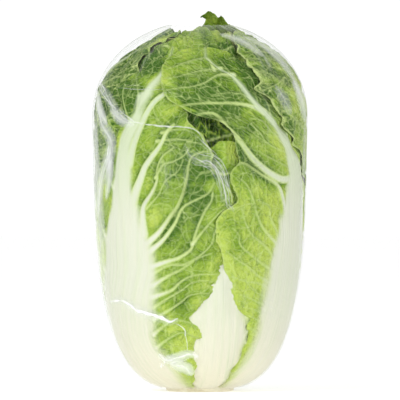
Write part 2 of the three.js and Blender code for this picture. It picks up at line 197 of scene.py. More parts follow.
class Envelope:
    """The head's outside: a side profile turned about +Z and flattened from front to back."""

    STEPS = 1201

    def __init__(self) -> None:
        """Works out the profile as a table that starts at the bottom pole."""
        around = np.linspace(-math.pi / 2, math.pi / 2, self.STEPS)
        upper = around > 0
        power = np.where(upper, CROWN_SQUARENESS, BASE_SQUARENESS)
        reach = np.where(upper, HEIGHT - WAIST, WAIST)
        across = np.abs(np.cos(around)) / (WIDTH / 2)
        along = np.abs(np.sin(around)) / reach
        scale = (across**power + along**power) ** (-1 / power)
        rise = scale * np.sin(around)
        self.r = np.maximum(scale * np.cos(around), 0) * (1 + TAPER * np.minimum(rise, 0) / HEIGHT)
        self.z = WAIST + rise
        steps = np.hypot(np.diff(self.r), np.diff(self.z))
        self.arc = np.concatenate([[0.0], np.cumsum(steps)])
        self.out_r = np.gradient(self.z, self.arc)
        self.out_z = -np.gradient(self.r, self.arc)
        self.length = float(self.arc[-1])

    def radius(self, arc: Any) -> np.ndarray:
        """Returns the profile's distance from the axis at an arc length."""
        return np.interp(arc, self.arc, self.r)

    def height(self, arc: Any) -> np.ndarray:
        """Returns the profile's height at an arc length."""
        return np.interp(arc, self.arc, self.z)

    def arc_at(self, height: Any) -> np.ndarray:
        """Returns the arc length at a height."""
        return np.interp(height, self.z, self.arc)

    def arc_at_radius(self, radius: Any) -> np.ndarray:
        """Returns the arc length over the crown where the profile has narrowed to a radius."""
        crown = self.z > WAIST
        return np.interp(-np.asarray(radius), -self.r[crown], self.arc[crown])

    def rise(self, arc: Any, start: float, end: float) -> np.ndarray:
        """Returns 0 below one height and 1 above another, with an S-shaped rise over the arc length."""
        return smooth(arc, float(self.arc_at(start)), float(self.arc_at(end)))

    def place(self, angle: np.ndarray, arc: np.ndarray, depth: Any) -> np.ndarray:
        """Turns places on the head into points.

        Args:
            angle: degrees round the head.
            arc: arc length up its side.
            depth: how far inwards from the outside.

        Returns:
            The points, with x, y and z on the last axis.
        """
        r = self.radius(arc) - depth * np.interp(arc, self.arc, self.out_r)
        z = self.height(arc) - depth * np.interp(arc, self.arc, self.out_z)
        turn = np.radians(angle)
        return np.stack([r * np.sin(turn), -DEPTH_OVER_WIDTH * r * np.cos(turn), z + 0 * r], axis=-1)


ENVELOPE = Envelope()


class Room:
    """How deep the pieces laid so far reach, over angle and arc length.

    A new piece fills its own cells. The floor for the next one is spread a little past them and then
    softened, so that a leaf dips under the edge of the leaf above it.
    """

    ANGLES = 240
    ARCS = 220
    SPREAD = 2
    SOFTEN = 5

    def __init__(self) -> None:
        """Starts with nothing but the film, and with the places where the leaves lie slack under it."""
        angle = np.linspace(0, 360, self.ANGLES, endpoint=False)[:, None]
        arc = np.linspace(0, ENVELOPE.length, self.ARCS)[None, :]
        self.taken = np.full((self.ANGLES, self.ARCS), UNDER_FILM)
        for at, height, size, depth in SLACK:
            across = np.radians(turned(angle, at)) * ENVELOPE.radius(arc)
            far = np.hypot(across, arc - ENVELOPE.arc_at(height))
            self.taken += depth * np.exp(-((far / size) ** 2))
        self.floor = self.taken

    def _cell(self, angle: np.ndarray, arc: np.ndarray) -> tuple[np.ndarray, np.ndarray]:
        """Returns the fractional cell of each place."""
        return angle % 360 / 360 * self.ANGLES, np.clip(arc / ENVELOPE.length, 0, 1) * (self.ARCS - 1)

    def take(self, angle: np.ndarray, arc: np.ndarray, depth: np.ndarray) -> None:
        """Fills the room down to the inner face of a new piece.

        Args:
            angle: degrees round the head, for each point of the piece.
            arc: its arc length.
            depth: the depth of the piece's inner face there.
        """
        i, j = self._cell(angle, arc)
        cell = (i.astype(int) % self.ANGLES, np.rint(j).astype(int))
        np.maximum.at(self.taken, cell, depth)
        floor = self.taken
        for _ in range(self.SPREAD):
            floor = np.maximum.reduce([floor, *self._neighbours(floor)])
        for _ in range(self.SOFTEN):
            floor = (2 * floor + sum(self._neighbours(floor))) / 6
        self.floor = floor

    @staticmethod
    def _neighbours(grid: np.ndarray) -> list[np.ndarray]:
        """Returns the grid moved by one cell each way, round the head and up it."""
        wide = np.pad(grid, ((0, 0), (1, 1)), mode="edge")
        return [np.roll(grid, 1, 0), np.roll(grid, -1, 0), wide[:, 2:], wide[:, :-2]]

    def below(self, angle: np.ndarray, arc: np.ndarray) -> np.ndarray:
        """Returns the depth at which the next piece may start, at each place."""
        i, j = self._cell(angle, arc)
        i0, j0 = np.floor(i).astype(int), np.minimum(np.floor(j).astype(int), self.ARCS - 2)
        u, v = i - i0, j - j0
        i0, i1 = i0 % self.ANGLES, (i0 + 1) % self.ANGLES
        low = blend(self.floor[i0, j0], self.floor[i1, j0], u)
        high = blend(self.floor[i0, j0 + 1], self.floor[i1, j0 + 1], u)
        return blend(low, high, v)


@dataclass(frozen=True)
class Hollow:
    """The dip at the front of the head, in which folded inner leaves lie deep."""

    angle: float = 9.0
    height: float = 212.0
    radius: float = 14.0
    depth: float = 17.0

    def deeper(self, angle: np.ndarray, arc: np.ndarray) -> np.ndarray:
        """Returns how much deeper a leaf lies at each place."""
        across = np.radians(turned(angle, self.angle)) * ENVELOPE.radius(arc)
        up = arc - ENVELOPE.arc_at(self.height)
        return self.depth * np.exp(-(across**2 + up**2) / (2 * self.radius**2))


HOLLOW = Hollow()


# ---- Meshes ----


def enter(mesh: bpy.types.Mesh, node: str, material: bpy.types.Material) -> bpy.types.Object:
    """Makes a mesh a piece of the head that stands for a solid.

    Args:
        mesh: the finished mesh, whose name the piece takes.
        node: the solid that it replaces.
        material: its finish.

    Returns:
        The piece.
    """
    mesh.materials.append(material)
    piece = bpy.data.objects.new(mesh.name, mesh)
    bpy.context.scene.collection.objects.link(piece)
    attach(piece, BODY)
    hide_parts(node)
    LOG.info("%s: %d faces for %s", mesh.name, len(mesh.polygons), node)
    return piece


def grid_place(vertex: bmesh.types.BMVert, rows: int, columns: int) -> tuple[int, int]:
    """Returns the row and column of a vertex of a fresh 2 x 2 grid of rows by columns of points."""
    return round((vertex.co.y + 1) / 2 * (rows - 1)), round((vertex.co.x + 1) / 2 * (columns - 1))


@dataclass
class Surface:
    """A grid of points with what its material reads."""

    points: np.ndarray
    numbers: dict[str, np.ndarray] = field(default_factory=dict)
    vectors: dict[str, np.ndarray] = field(default_factory=dict)

    def piece(self, name: str, node: str, slot: str, material: bpy.types.Material) -> bpy.types.Object:
        """Makes the grid a piece that stands for a solid.

        Args:
            name: the piece's name.
            node: the solid that it replaces.
            slot: the record's material slot; not used.
            material: its finish.

        Returns:
            The piece, with doubled points merged and faces pointing out.
        """
        rows, columns = self.points.shape[:2]
        bm = bmesh.new()
        bmesh.ops.create_grid(bm, x_segments=columns - 1, y_segments=rows - 1, size=1)
        index = bm.verts.layers.int.new("cell")
        flat = self.points.reshape(-1, 3) * MM
        for vertex in bm.verts:
            i, j = grid_place(vertex, rows, columns)
            vertex[index] = i * columns + j
            vertex.co = flat[i * columns + j]
        bmesh.ops.remove_doubles(bm, verts=bm.verts, dist=MERGE)
        bmesh.ops.recalc_face_normals(bm, faces=bm.faces)
        mesh = bpy.data.meshes.new(name)
        bm.to_mesh(mesh)
        bm.free()
        self._write_layers(mesh)
        mesh.shade_smooth()
        return enter(mesh, node, material)

    def _write_layers(self, mesh: bpy.types.Mesh) -> None:
        """Writes the grid's numbers and vectors to the points that are left after the merge."""
        cell = np.zeros(len(mesh.vertices), int)
        mesh.attributes["cell"].data.foreach_get("value", cell)
        mesh.attributes.remove(mesh.attributes["cell"])
        for key, grid in self.numbers.items():
            layer = mesh.attributes.new(key, "FLOAT", "POINT")
            layer.data.foreach_set("value", grid.reshape(-1)[cell].astype(np.float32))
        for key, grid in self.vectors.items():
            layer = mesh.attributes.new(key, "FLOAT_VECTOR", "POINT")
            layer.data.foreach_set("vector", grid.reshape(-1, 3)[cell].astype(np.float32).ravel())


# ---- Materials ----


def operator(operation: str, swapped: bool = False) -> Callable[["Socket", Any], "Socket"]:
    """Makes a method that adds one Math node.

    Args:
        operation: what the node does.
        swapped: whether the socket is the node's second value.

    Returns:
        The method.
    """

    def apply(self: "Socket", other: Any) -> "Socket":
        """Returns the node's result."""
        values = (other, self) if swapped else (self, other)
        node = self.nodes.add("ShaderNodeMath", {"operation": operation}, dict(enumerate(values)))
        return self.nodes.out(node, 0)

    return apply


class Socket:
    """A shader value whose arithmetic adds Math nodes."""

    def __init__(self, nodes: "Nodes", output: bpy.types.NodeSocket) -> None:
        """Wraps an output of a node."""
        self.nodes = nodes
        self.output = output

    __add__ = __radd__ = operator("ADD")
    __sub__, __rsub__ = operator("SUBTRACT"), operator("SUBTRACT", swapped=True)
    __mul__ = __rmul__ = operator("MULTIPLY")
    __pow__ = operator("POWER")

    def ramp(self, start: float, end: float) -> "Socket":
        """Returns 0 before start, 1 past end and an S-shaped rise between them."""
        settings = {"interpolation_type": "SMOOTHSTEP"}
        node = self.nodes.add("ShaderNodeMapRange", settings, {0: self, 1: start, 2: end})
        return self.nodes.out(node, 0)


class Nodes:
    """The node tree of one new material."""

    def __init__(self, name: str) -> None:
        """Makes an empty material."""
        self.material = bpy.data.materials.new(name)
        self.material.use_nodes = True
        self.tree = self.material.node_tree
        self.tree.nodes.clear()

    def add(self, kind: str, settings: dict[str, Any], values: dict[Any, Any]) -> bpy.types.Node:
        """Adds a node.

        Args:
            kind: the node's type.
            settings: its own properties, set first.
            values: a number, colour or Socket for each of its inputs, by name or place.

        Returns:
            The node.
        """
        node = self.tree.nodes.new(kind)
        for key, value in settings.items():
            setattr(node, key, value)
        for key, value in values.items():
            if isinstance(value, Socket):
                self.tree.links.new(value.output, node.inputs[key])
            elif isinstance(value, tuple) and len(value) == 3 and node.inputs[key].type == "RGBA":
                node.inputs[key].default_value = (*value, 1.0)
            else:
                node.inputs[key].default_value = value
        return node

    def out(self, node: bpy.types.Node, key: Any) -> Socket:
        """Returns one of a node's outputs."""
        return Socket(self, node.outputs[key])

    def number(self, name: str) -> Socket:
        """Returns a number that the mesh holds."""
        return self.out(self.add("ShaderNodeAttribute", {"attribute_name": name}, {}), "Fac")

    def vector(self, name: str, scale: Triple) -> Socket:
        """Returns a vector that the mesh holds, scaled along each of its axes."""
        source = self.out(self.add("ShaderNodeAttribute", {"attribute_name": name}, {}), "Vector")
        values = {0: source, 1: scale}
        return self.out(self.add("ShaderNodeVectorMath", {"operation": "MULTIPLY"}, values), 0)

    def noise(self, place: Socket, scale: float, detail: float = 3.0) -> Socket:
        """Returns cloudy noise from 0 to 1."""
        node = self.add("ShaderNodeTexNoise", {}, {"Vector": place, "Scale": scale, "Detail": detail})
        return self.out(node, 0)

    def bend(self, place: Socket, scale: float, amount: float) -> Socket:
        """Returns a place that noise pushes about by amount."""
        push = self.out(self.add("ShaderNodeTexNoise", {}, {"Vector": place, "Scale": scale}), 1)
        values = {0: push, 1: (amount, amount, amount), 2: place}
        return self.out(self.add("ShaderNodeVectorMath", {"operation": "MULTIPLY_ADD"}, values), 0)

    def edges(self, place: Socket, scale: float) -> Socket:
        """Returns how far a place is from the nearest edge of a net of cells."""
        values = {"Vector": place, "Scale": scale}
        return self.out(self.add("ShaderNodeTexVoronoi", {"feature": "DISTANCE_TO_EDGE"}, values), 0)

    def mix(self, share: Any, start: Any, end: Any) -> Socket:
        """Returns the colour at share of the way from start to end."""
        node = self.add("ShaderNodeMix", {"data_type": "RGBA"}, {0: share, 6: start, 7: end})
        return self.out(node, 2)

    def bump(self, height: Socket, strength: float, distance: float) -> Socket:
        """Returns normals that are tilted by a height."""
        values = {"Height": height, "Strength": strength, "Distance": distance}
        return self.out(self.add("ShaderNodeBump", {}, values), 0)

    def principled(self, **values: Any) -> bpy.types.Node:
        """Returns a Principled shader, with an underscore in a socket's name for each space."""
        sockets = {key.replace("_", " "): value for key, value in values.items()}
        return self.add("ShaderNodeBsdfPrincipled", {}, sockets)

    def join(self, share: Socket, first: bpy.types.Node, second: bpy.types.Node) -> bpy.types.Node:
        """Returns a mix of two shaders, with share of the second."""
        mix = self.add("ShaderNodeMixShader", {}, {0: share})
        self.tree.links.new(first.outputs[0], mix.inputs[1])
        self.tree.links.new(second.outputs[0], mix.inputs[2])
        return mix

    def surface(self, shader: bpy.types.Node) -> bpy.types.Material:
        """Ends the tree with a shader and returns the material."""
        output = self.tree.nodes.new("ShaderNodeOutputMaterial")
        self.tree.links.new(shader.outputs[0], output.inputs["Surface"])
        return self.material


WHITE = (1.0, 1.0, 1.0)


@dataclass(frozen=True)
class LeafFinish:
    """A leaf: a white fibrous rib, pale veins and a green blade.

    The mesh tells where the rib, the veins and the fine net are, how dark a green each place is (tone,
    painted shade and light included) and how crumpled. Its grain vector is (distance from the midrib, arc
    length, a number of the leaf's own).
    """

    name: str
    light: Colour = (0.43, 0.55, 0.085)
    middle: Colour = (0.20, 0.33, 0.024)
    dark: Colour = (0.04, 0.12, 0.003)
    vein: Colour = (0.52, 0.63, 0.23)
    rib: Colour = (0.65, 0.67, 0.545)
    base: Colour = (0.77, 0.72, 0.575)
    rib_streak: Colour = (0.60, 0.66, 0.46)
    rib_fibre: Colour = (0.78, 0.74, 0.56)
    rib_top: Colour = (0.50, 0.60, 0.36)
    blister: float = 0.115
    pimple: float = 0.3
    specular: float = 0.14
    relief: float = 0.8
    relief_depth: float = 0.0011

    def make(self) -> bpy.types.Material:
        """Returns the material."""
        n = Nodes(self.name)
        rib, vein, net, tone, crumple = (n.number(key) for key in ("rib", "vein", "net", "tone", "crumple"))
        fibres = n.noise(n.vector("grain", (0.9, 0.035, 1.0)), 1.0)
        place = n.vector("grain", WHITE)
        mottle = n.noise(place, 0.09, 4.0)
        bent = n.bend(place, 0.1, 6.0)
        large, small = n.edges(bent, self.blister), n.edges(bent, self.pimple)
        wrinkles = n.noise(bent, 0.13, 1.0)
        wrinkles = (wrinkles - 0.5) * (wrinkles - 0.5)
        creases = (1 - wrinkles.ramp(0.0, 0.0012)) * crumple
        grit = n.noise(place, 0.55, 2.0)
        pillow = large.ramp(0.0, 0.2) * 0.6 + small.ramp(0.0, 0.3) * 0.4
        # Painted shade: the blade is darker in the troughs beside the lines of the net than in the middle
        # of each cell.
        shade = tone + (mottle - 0.5) * 0.4 + (grit - 0.5) * 0.3 + (0.5 - pillow) * 0.25
        shade = shade + crumple * ((wrinkles.ramp(0.0, 0.01) - 0.6) * 0.5 + (pillow - 0.5) * 0.4)
        lines, fine = 1 - large.ramp(0.012, 0.055), 1 - small.ramp(0.02, 0.13)
        pale = net * 0.4 + lines * (0.28 + crumple * 0.3) + fine * 0.07 + creases * 0.4
        blade = self._blade(n, shade, pale, vein)
        streaks = n.noise(n.vector("grain", (0.32, 0.012, 1.0)), 1.0, 2.0)
        colour = n.mix(rib, blade, self._stem(n, streaks, fibres))
        relief = (pillow * 0.9 + grit * 0.7 + mottle * 0.6 + creases * 1.5) * (1 - rib)
        relief = relief + (fibres * 0.4 + streaks) * rib
        shader = n.principled(
            Base_Color=colour,
            Roughness=0.5 - rib * 0.1,
            Specular_IOR_Level=self.specular,
            Normal=n.bump(relief, self.relief, self.relief_depth),
        )
        return n.surface(shader)

    def _blade(self, n: Nodes, shade: Socket, pale: Socket, vein: Socket) -> Socket:
        """Returns the blade's colour: darker with shade, paler where the fine net or a vein shows."""
        blade = n.mix(shade.ramp(0.0, 0.62), self.light, self.middle)
        blade = n.mix(shade.ramp(0.5, 1.05), blade, self.dark)
        blade = n.mix(pale, blade, self.vein)
        return n.mix(vein, blade, self.vein)

    def _stem(self, n: Nodes, streaks: Socket, fibres: Socket) -> Socket:
        """Returns the rib's colour: cream at the foot, then white, and greener towards the crown."""
        height = n.out(n.add("ShaderNodeSeparateXYZ", {}, {0: n.vector("grain", WHITE)}), 1)
        cream = (1 - height.ramp(30.0, 150.0)) * 0.9
        stem = n.mix(cream, self.rib, self.base)
        stem = n.mix(streaks.ramp(0.42, 0.72) * 0.5, stem, self.rib_streak)
        stem = n.mix(fibres.ramp(0.45, 0.8) * 0.25, stem, self.rib_fibre)
        return n.mix(height.ramp(170.0, 270.0) * 0.7, stem, self.rib_top)


@dataclass(frozen=True)
class ButtFinish:
    """The cut stem: moist cream flesh with rings of cut fibres."""

    name: str = "butt_flesh"
    flesh: Colour = (0.80, 0.76, 0.60)
    rind: Colour = (0.56, 0.47, 0.27)
    rings: float = 70.0
    specks: float = 420.0

    def make(self) -> bpy.types.Material:
        """Returns the material."""
        n = Nodes(self.name)
        place = n.out(n.add("ShaderNodeTexCoord", {}, {}), "Object")
        rings = n.add(
            "ShaderNodeTexWave",
            {"wave_type": "RINGS", "rings_direction": "Z"},
            {"Vector": place, "Scale": self.rings, "Distortion": 5.0, "Detail": 3.0, "Detail Scale": 1.4},
        )
        ring = n.out(rings, "Fac")
        specks = n.noise(place, self.specks, 4.0).ramp(0.55, 0.75)
        colour = n.mix(ring.ramp(0.5, 1.0) * 0.4 + specks * 0.35, self.flesh, self.rind)
        return n.surface(
            n.principled(Base_Color=colour, Roughness=0.6, Normal=n.bump(ring + specks, 0.4, 0.0005))
        )


@dataclass(frozen=True)
class FilmFinish:
    """Clear stretch film: nothing but gloss where it lies flat, and white where it is creased or hazy.

    The mesh tells where it is creased and how cloudy it is, a painted glare included. Its grain vector is
    (girth, arc length, 0).
    """

    name: str = "stretch_film"
    tint: Colour = (0.985, 0.99, 0.988)
    haze: Colour = (0.97, 0.98, 0.97)
    glow: float = 0.12
    gloss: float = 0.16
    relief: float = 0.5
    relief_depth: float = 0.004

    def make(self) -> bpy.types.Material:
        """Returns the material."""
        n = Nodes(self.name)
        crease, cloud_and_glare = n.number("crease"), n.number("cloud_and_glare")
        pulled = n.noise(n.vector("grain", (0.16, 0.02, 1.0)), 1.0, 4.0)
        puckers = n.noise(n.vector("grain", (0.05, 0.09, 1.0)), 1.0, 3.0)
        normal = n.bump(pulled * 0.7 + puckers, self.relief, self.relief_depth)
        facing = n.out(n.add("ShaderNodeLayerWeight", {}, {"Blend": 0.5}), "Facing")
        clear = n.add("ShaderNodeBsdfTransparent", {}, {"Color": self.tint})
        shiny = {"Color": WHITE, "Roughness": self.gloss, "Normal": normal}
        gloss = n.add("ShaderNodeBsdfGlossy", {}, shiny)
        # The milky part glows a little: painted light that keeps creases and haze white where the film lies
        # in shade.
        glow = {"Emission_Color": WHITE, "Emission_Strength": self.glow}
        milky = n.principled(Base_Color=self.haze, Roughness=0.5, Normal=normal, **glow)
        shine = n.join(0.004 + facing**5.0 * 0.3, clear, gloss)
        # Milkier where the film is seen edge-on: partly the film's own haze, partly a painted sheen.
        edge_on = facing**4.0 * (0.08 + cloud_and_glare * 0.45)
        streaks = pulled.ramp(0.56, 0.74) * cloud_and_glare
        share = edge_on + streaks * 0.3 + cloud_and_glare * 0.02 + crease * (0.4 + pulled * 1.1)
        return n.surface(n.join(share, shine, milky))


# ---- Leaves ----


class Side(Enum):
    """Which half of a leaf's blade, by the way that its angle grows."""

    LOW = -1
    HIGH = 1


@dataclass(frozen=True)
class Vein:
    """A side vein from the rib outwards.

    Attributes:
        line: its (angle, height) points.
        start: its half width at the rib.
        end: its half width at its end.
        fold: how far the blade drops beside it: on the left as the vein runs if above 0, else on the right.
    """

    line: Points
    start: float = 1.2
    end: float = 0.5
    fold: float = 0.0


@dataclass(frozen=True)
class LeafPlan:
    """One leaf.

    Attributes:
        node: the solid that it stands for.
        low: (height, angle) rows of the edge at the smaller angle.
        midrib: (height, angle) rows of its middle.
        high: (height, angle) rows of the edge at the larger angle.
        rib: (height, half width) rows of the rib.
        tip: the height of its tip.
        veins: the side veins that are drawn one by one.
        vein_count: how many more rise from each side of the rib.
        round_off: how far below the tip its edges start to close in.
        blunt: half the tip's least width.
        frill: how wavy its edge is.
        crinkle: how deep its net and blisters are.
        rumple: how deep its large swells are.
        rim: how pale its very edge is.
        net: how clear its fine veins are.
        crumple: how crumpled its surface looks.
        tone: (height, tone) rows, from 0 for light green to about 1 for dark.
        patches: (angle, height, size, change of tone) of single darker or lighter places; many of the
            darker ones are painted shade in gaps, beside overlapping edges and under folds.
        green_rib: the height at which the rib has turned green.
        cells: rows and columns of its mesh.
        eye: whether it dips into the hollow at the front.
        flag: whether its tip stands up through the film.
        slot: the record's material slot.
        seed: picks its random patterns.
    """

    node: str
    low: Points
    midrib: Points
    high: Points
    rib: Points
    tip: float
    veins: tuple[Vein, ...] = ()
    vein_count: int = 8
    round_off: float = 34.0
    blunt: float = 3.0
    frill: float = 1.6
    crinkle: float = 1.0
    rumple: float = 1.0
    rim: float = 0.4
    net: float = 1.0
    crumple: float = 0.15
    tone: Points = ((0, 0.25), (120, 0.4), (200, 0.55), (296, 0.5))
    patches: Points = ()
    green_rib: float = 296.0
    cells: tuple[int, int] = (200, 110)
    eye: bool = False
    flag: bool = False
    slot: str = "outer_leaf"
    seed: int = 1


LEFT_FRONT = LeafPlan(
    node="leaf_left_front",
    tip=277,
    round_off=24,
    low=(
        (1.2, -96), (24, -98), (40, -100), (57, -100), (73, -101), (98, -102), (121, -100), (137, -95),
        (153, -86), (169, -76), (185, -66), (193, -57), (201, -53), (209, -49), (217, -46), (225, -46),
        (233, -50), (241, -54), (248, -52), (254, -44), (262, -35), (270, -29),
    ),
    midrib=(
        (1.2, -58), (24, -60.5), (40, -63), (57, -60.5), (73, -57.5), (98, -50), (121, -48.8),
        (145, -47.8), (169, -47.4), (185, -46.5), (201, -44), (213, -39.5), (225, -35.5), (241, -30.3),
        (255, -25), (270, -22),
    ),
    high=(
        (1.2, -12), (12, -4), (24, -3), (34, -5), (42, 0.5), (50, 1), (57, -5), (64, -4), (72, 4),
        (86, 9.5), (98, 13), (121, 20), (145, 21), (157, 19), (169, 13), (178, 8), (186, 7), (193, 6),
        (200, 4), (205, 2), (210, -2), (217, -6), (228, -9), (241, -14), (255, -16), (270, -12),
    ),
    rib=(
        (1.2, 16), (12, 33), (24, 36), (40, 34.5), (57, 36), (73, 37), (98, 31.5), (121, 26),
        (137, 19.5), (153, 14.5), (161, 11.5), (169, 9.8), (185, 9.4), (201, 8.6), (213, 6.6),
        (225, 5.2), (241, 3.9), (255, 2.2), (264, 1.0), (274, 0.4),
    ),
    veins=(
        Vein(
            (
                (-41, 186), (-38, 199), (-34, 211), (-30, 222), (-26, 231), (-21, 238), (-18, 243),
            ),
            3.4, 2.2, 1.0,
        ),
        Vein(
            (
                (-40, 151), (-37, 161), (-34, 170), (-31, 180), (-27, 188), (-22, 197), (-18, 208),
                (-14, 214),
            ),
            4.4, 1.5, 1.6,
        ),
        Vein(((-24, 236), (-26, 230), (-24, 220), (-20, 214)), 0.9, 0.5),
        Vein(((-19, 208), (-13, 210), (-8, 210), (-3, 207)), 1.1, 0.5),
        Vein(((-22, 201), (-16, 202), (-10, 202), (-4, 200), (2, 198)), 1.1, 0.5),
        Vein(
            (
                (-33, 130), (-33, 142), (-32, 150), (-27, 160), (-24, 170), (-24, 178), (-21, 188),
                (-14, 196),
            ),
            3.3, 0.9, 2.6,
        ),
        Vein(((-24, 174), (-20, 182), (-14, 185), (-9, 189), (-6, 194)), 1.2, 0.6),
        Vein(((-29, 149), (-23, 158), (-19, 169), (-12, 177), (-9, 186)), 1.0, 0.5),
        Vein(
            (
                (-30, 120), (-24, 127), (-20, 134), (-16, 142), (-12, 150), (-9, 161), (-7, 173),
                (-6, 183), (-4, 189), (1, 192), (6, 193),
            ),
            2.2, 0.8, -3.0,
        ),
        Vein(((-29, 113), (-21, 122), (-14, 135), (-10, 147), (-4, 153), (4, 159), (8, 168)), 2.2, 0.8),
        Vein(
            (
                (-28, 101), (-19, 105), (-12, 108), (-5, 115), (-3, 125), (0, 137), (3, 146), (6, 153),
                (7, 160),
            ),
            2.0, 0.9, 1.6,
        ),
        Vein(((-3, 121), (2, 130), (7, 138), (12, 145), (17, 148)), 1.3, 0.7),
        Vein(((-28, 95), (-18, 102), (-9, 103), (0, 110), (7, 120), (8, 127), (11, 136)), 1.4, 0.6),
        Vein(((-27, 87), (-18, 94), (-13, 97), (-6, 103), (-1, 108), (7, 112)), 1.8, 0.6),
        Vein(((-28, 77), (-17, 82), (-12, 88), (-6, 93), (2, 95), (11, 95)), 1.9, 0.6),
        Vein(((-28, 69), (-19, 76), (-11, 82), (-5, 88), (2, 90), (9, 88)), 1.3, 0.5),
        Vein(((-28, 60), (-18, 67), (-11, 73), (-6, 78), (3, 80), (8, 78)), 1.6, 0.5, -1.6),
        Vein(((-30, 48), (-20, 56), (-12, 58), (-3, 54)), 1.6, 0.7),
        Vein(((-30, 37), (-20, 44), (-11, 48), (0, 43)), 1.5, 0.7, -1.5),
        Vein(((-30, 24), (-20, 30), (-12, 31), (-5, 28)), 1.2, 0.6),
        Vein(((-36, 228), (-36, 238), (-39, 248), (-42, 256)), 1.0, 0.6),
        Vein(((-40, 214), (-44, 226), (-47, 236), (-48, 246)), 1.2, 0.6),
        Vein(((-53, 158), (-58, 170), (-62, 180)), 1.5, 0.6),
        Vein(((-66, 124), (-74, 142), (-84, 158), (-93, 172)), 1.7, 0.6),
        Vein(((-72, 96), (-80, 110), (-88, 124), (-94, 134)), 1.5, 0.6),
    ),
    tone=((0, 0.2), (60, 0.42), (110, 0.4), (150, 0.5), (200, 0.42), (240, 0.5), (296, 0.45)),
    patches=(
        (-7, 137, 15, 0.15), (-12, 78, 9, 0.1), (-20, 50, 14, -0.2), (12, 170, 12, 0.15),
        (-2, 72, 8, -0.2), (-46, 240, 17, 0.5), (2, 172, 15, 0.4), (-2, 150, 10, 0.25),
        (-14, 196, 12, 0.3), (-19, 128, 13, 0.3), (-16, 214, 8, 0.3), (-12, 10, 16, -0.6),
        (-38, 238, 10, 0.6), (-44, 220, 9, 0.5), (-55, 180, 10, 0.35), (-6, 118, 11, 0.3),
        (-12, 68, 11, 0.35), (-14, 160, 9, 0.3), (8, 113, 9, -0.3), (0, 44, 11, -0.6),
        (-80, 160, 20, -0.3), (-92, 110, 26, -0.3), (-58, 190, 12, 0.5), (-60, 205, 9, 0.4),
        (3, 181, 8, 0.45), (-8, 186, 7, 0.3), (-80, 115, 14, -0.6), (-52, 240, 7, 0.6),
        (-33, 262, 8, 0.9), (-26, 264, 6, 0.5), (6, 166, 6, -0.5), (-8, 152, 9, -0.35),
        (0, 198, 6, 0.5), (6, 179, 6, 0.4), (-14, 173, 8, 0.25), (-31, 164, 7, -0.6),
        (-26, 137, 9, -0.6), (-19, 65, 9, -0.35), (-6, 40, 9, -0.5), (-11, 24, 10, -0.5),
    ),
    vein_count=0,
    frill=0.9,
    cells=(300, 210),
    seed=11,
)

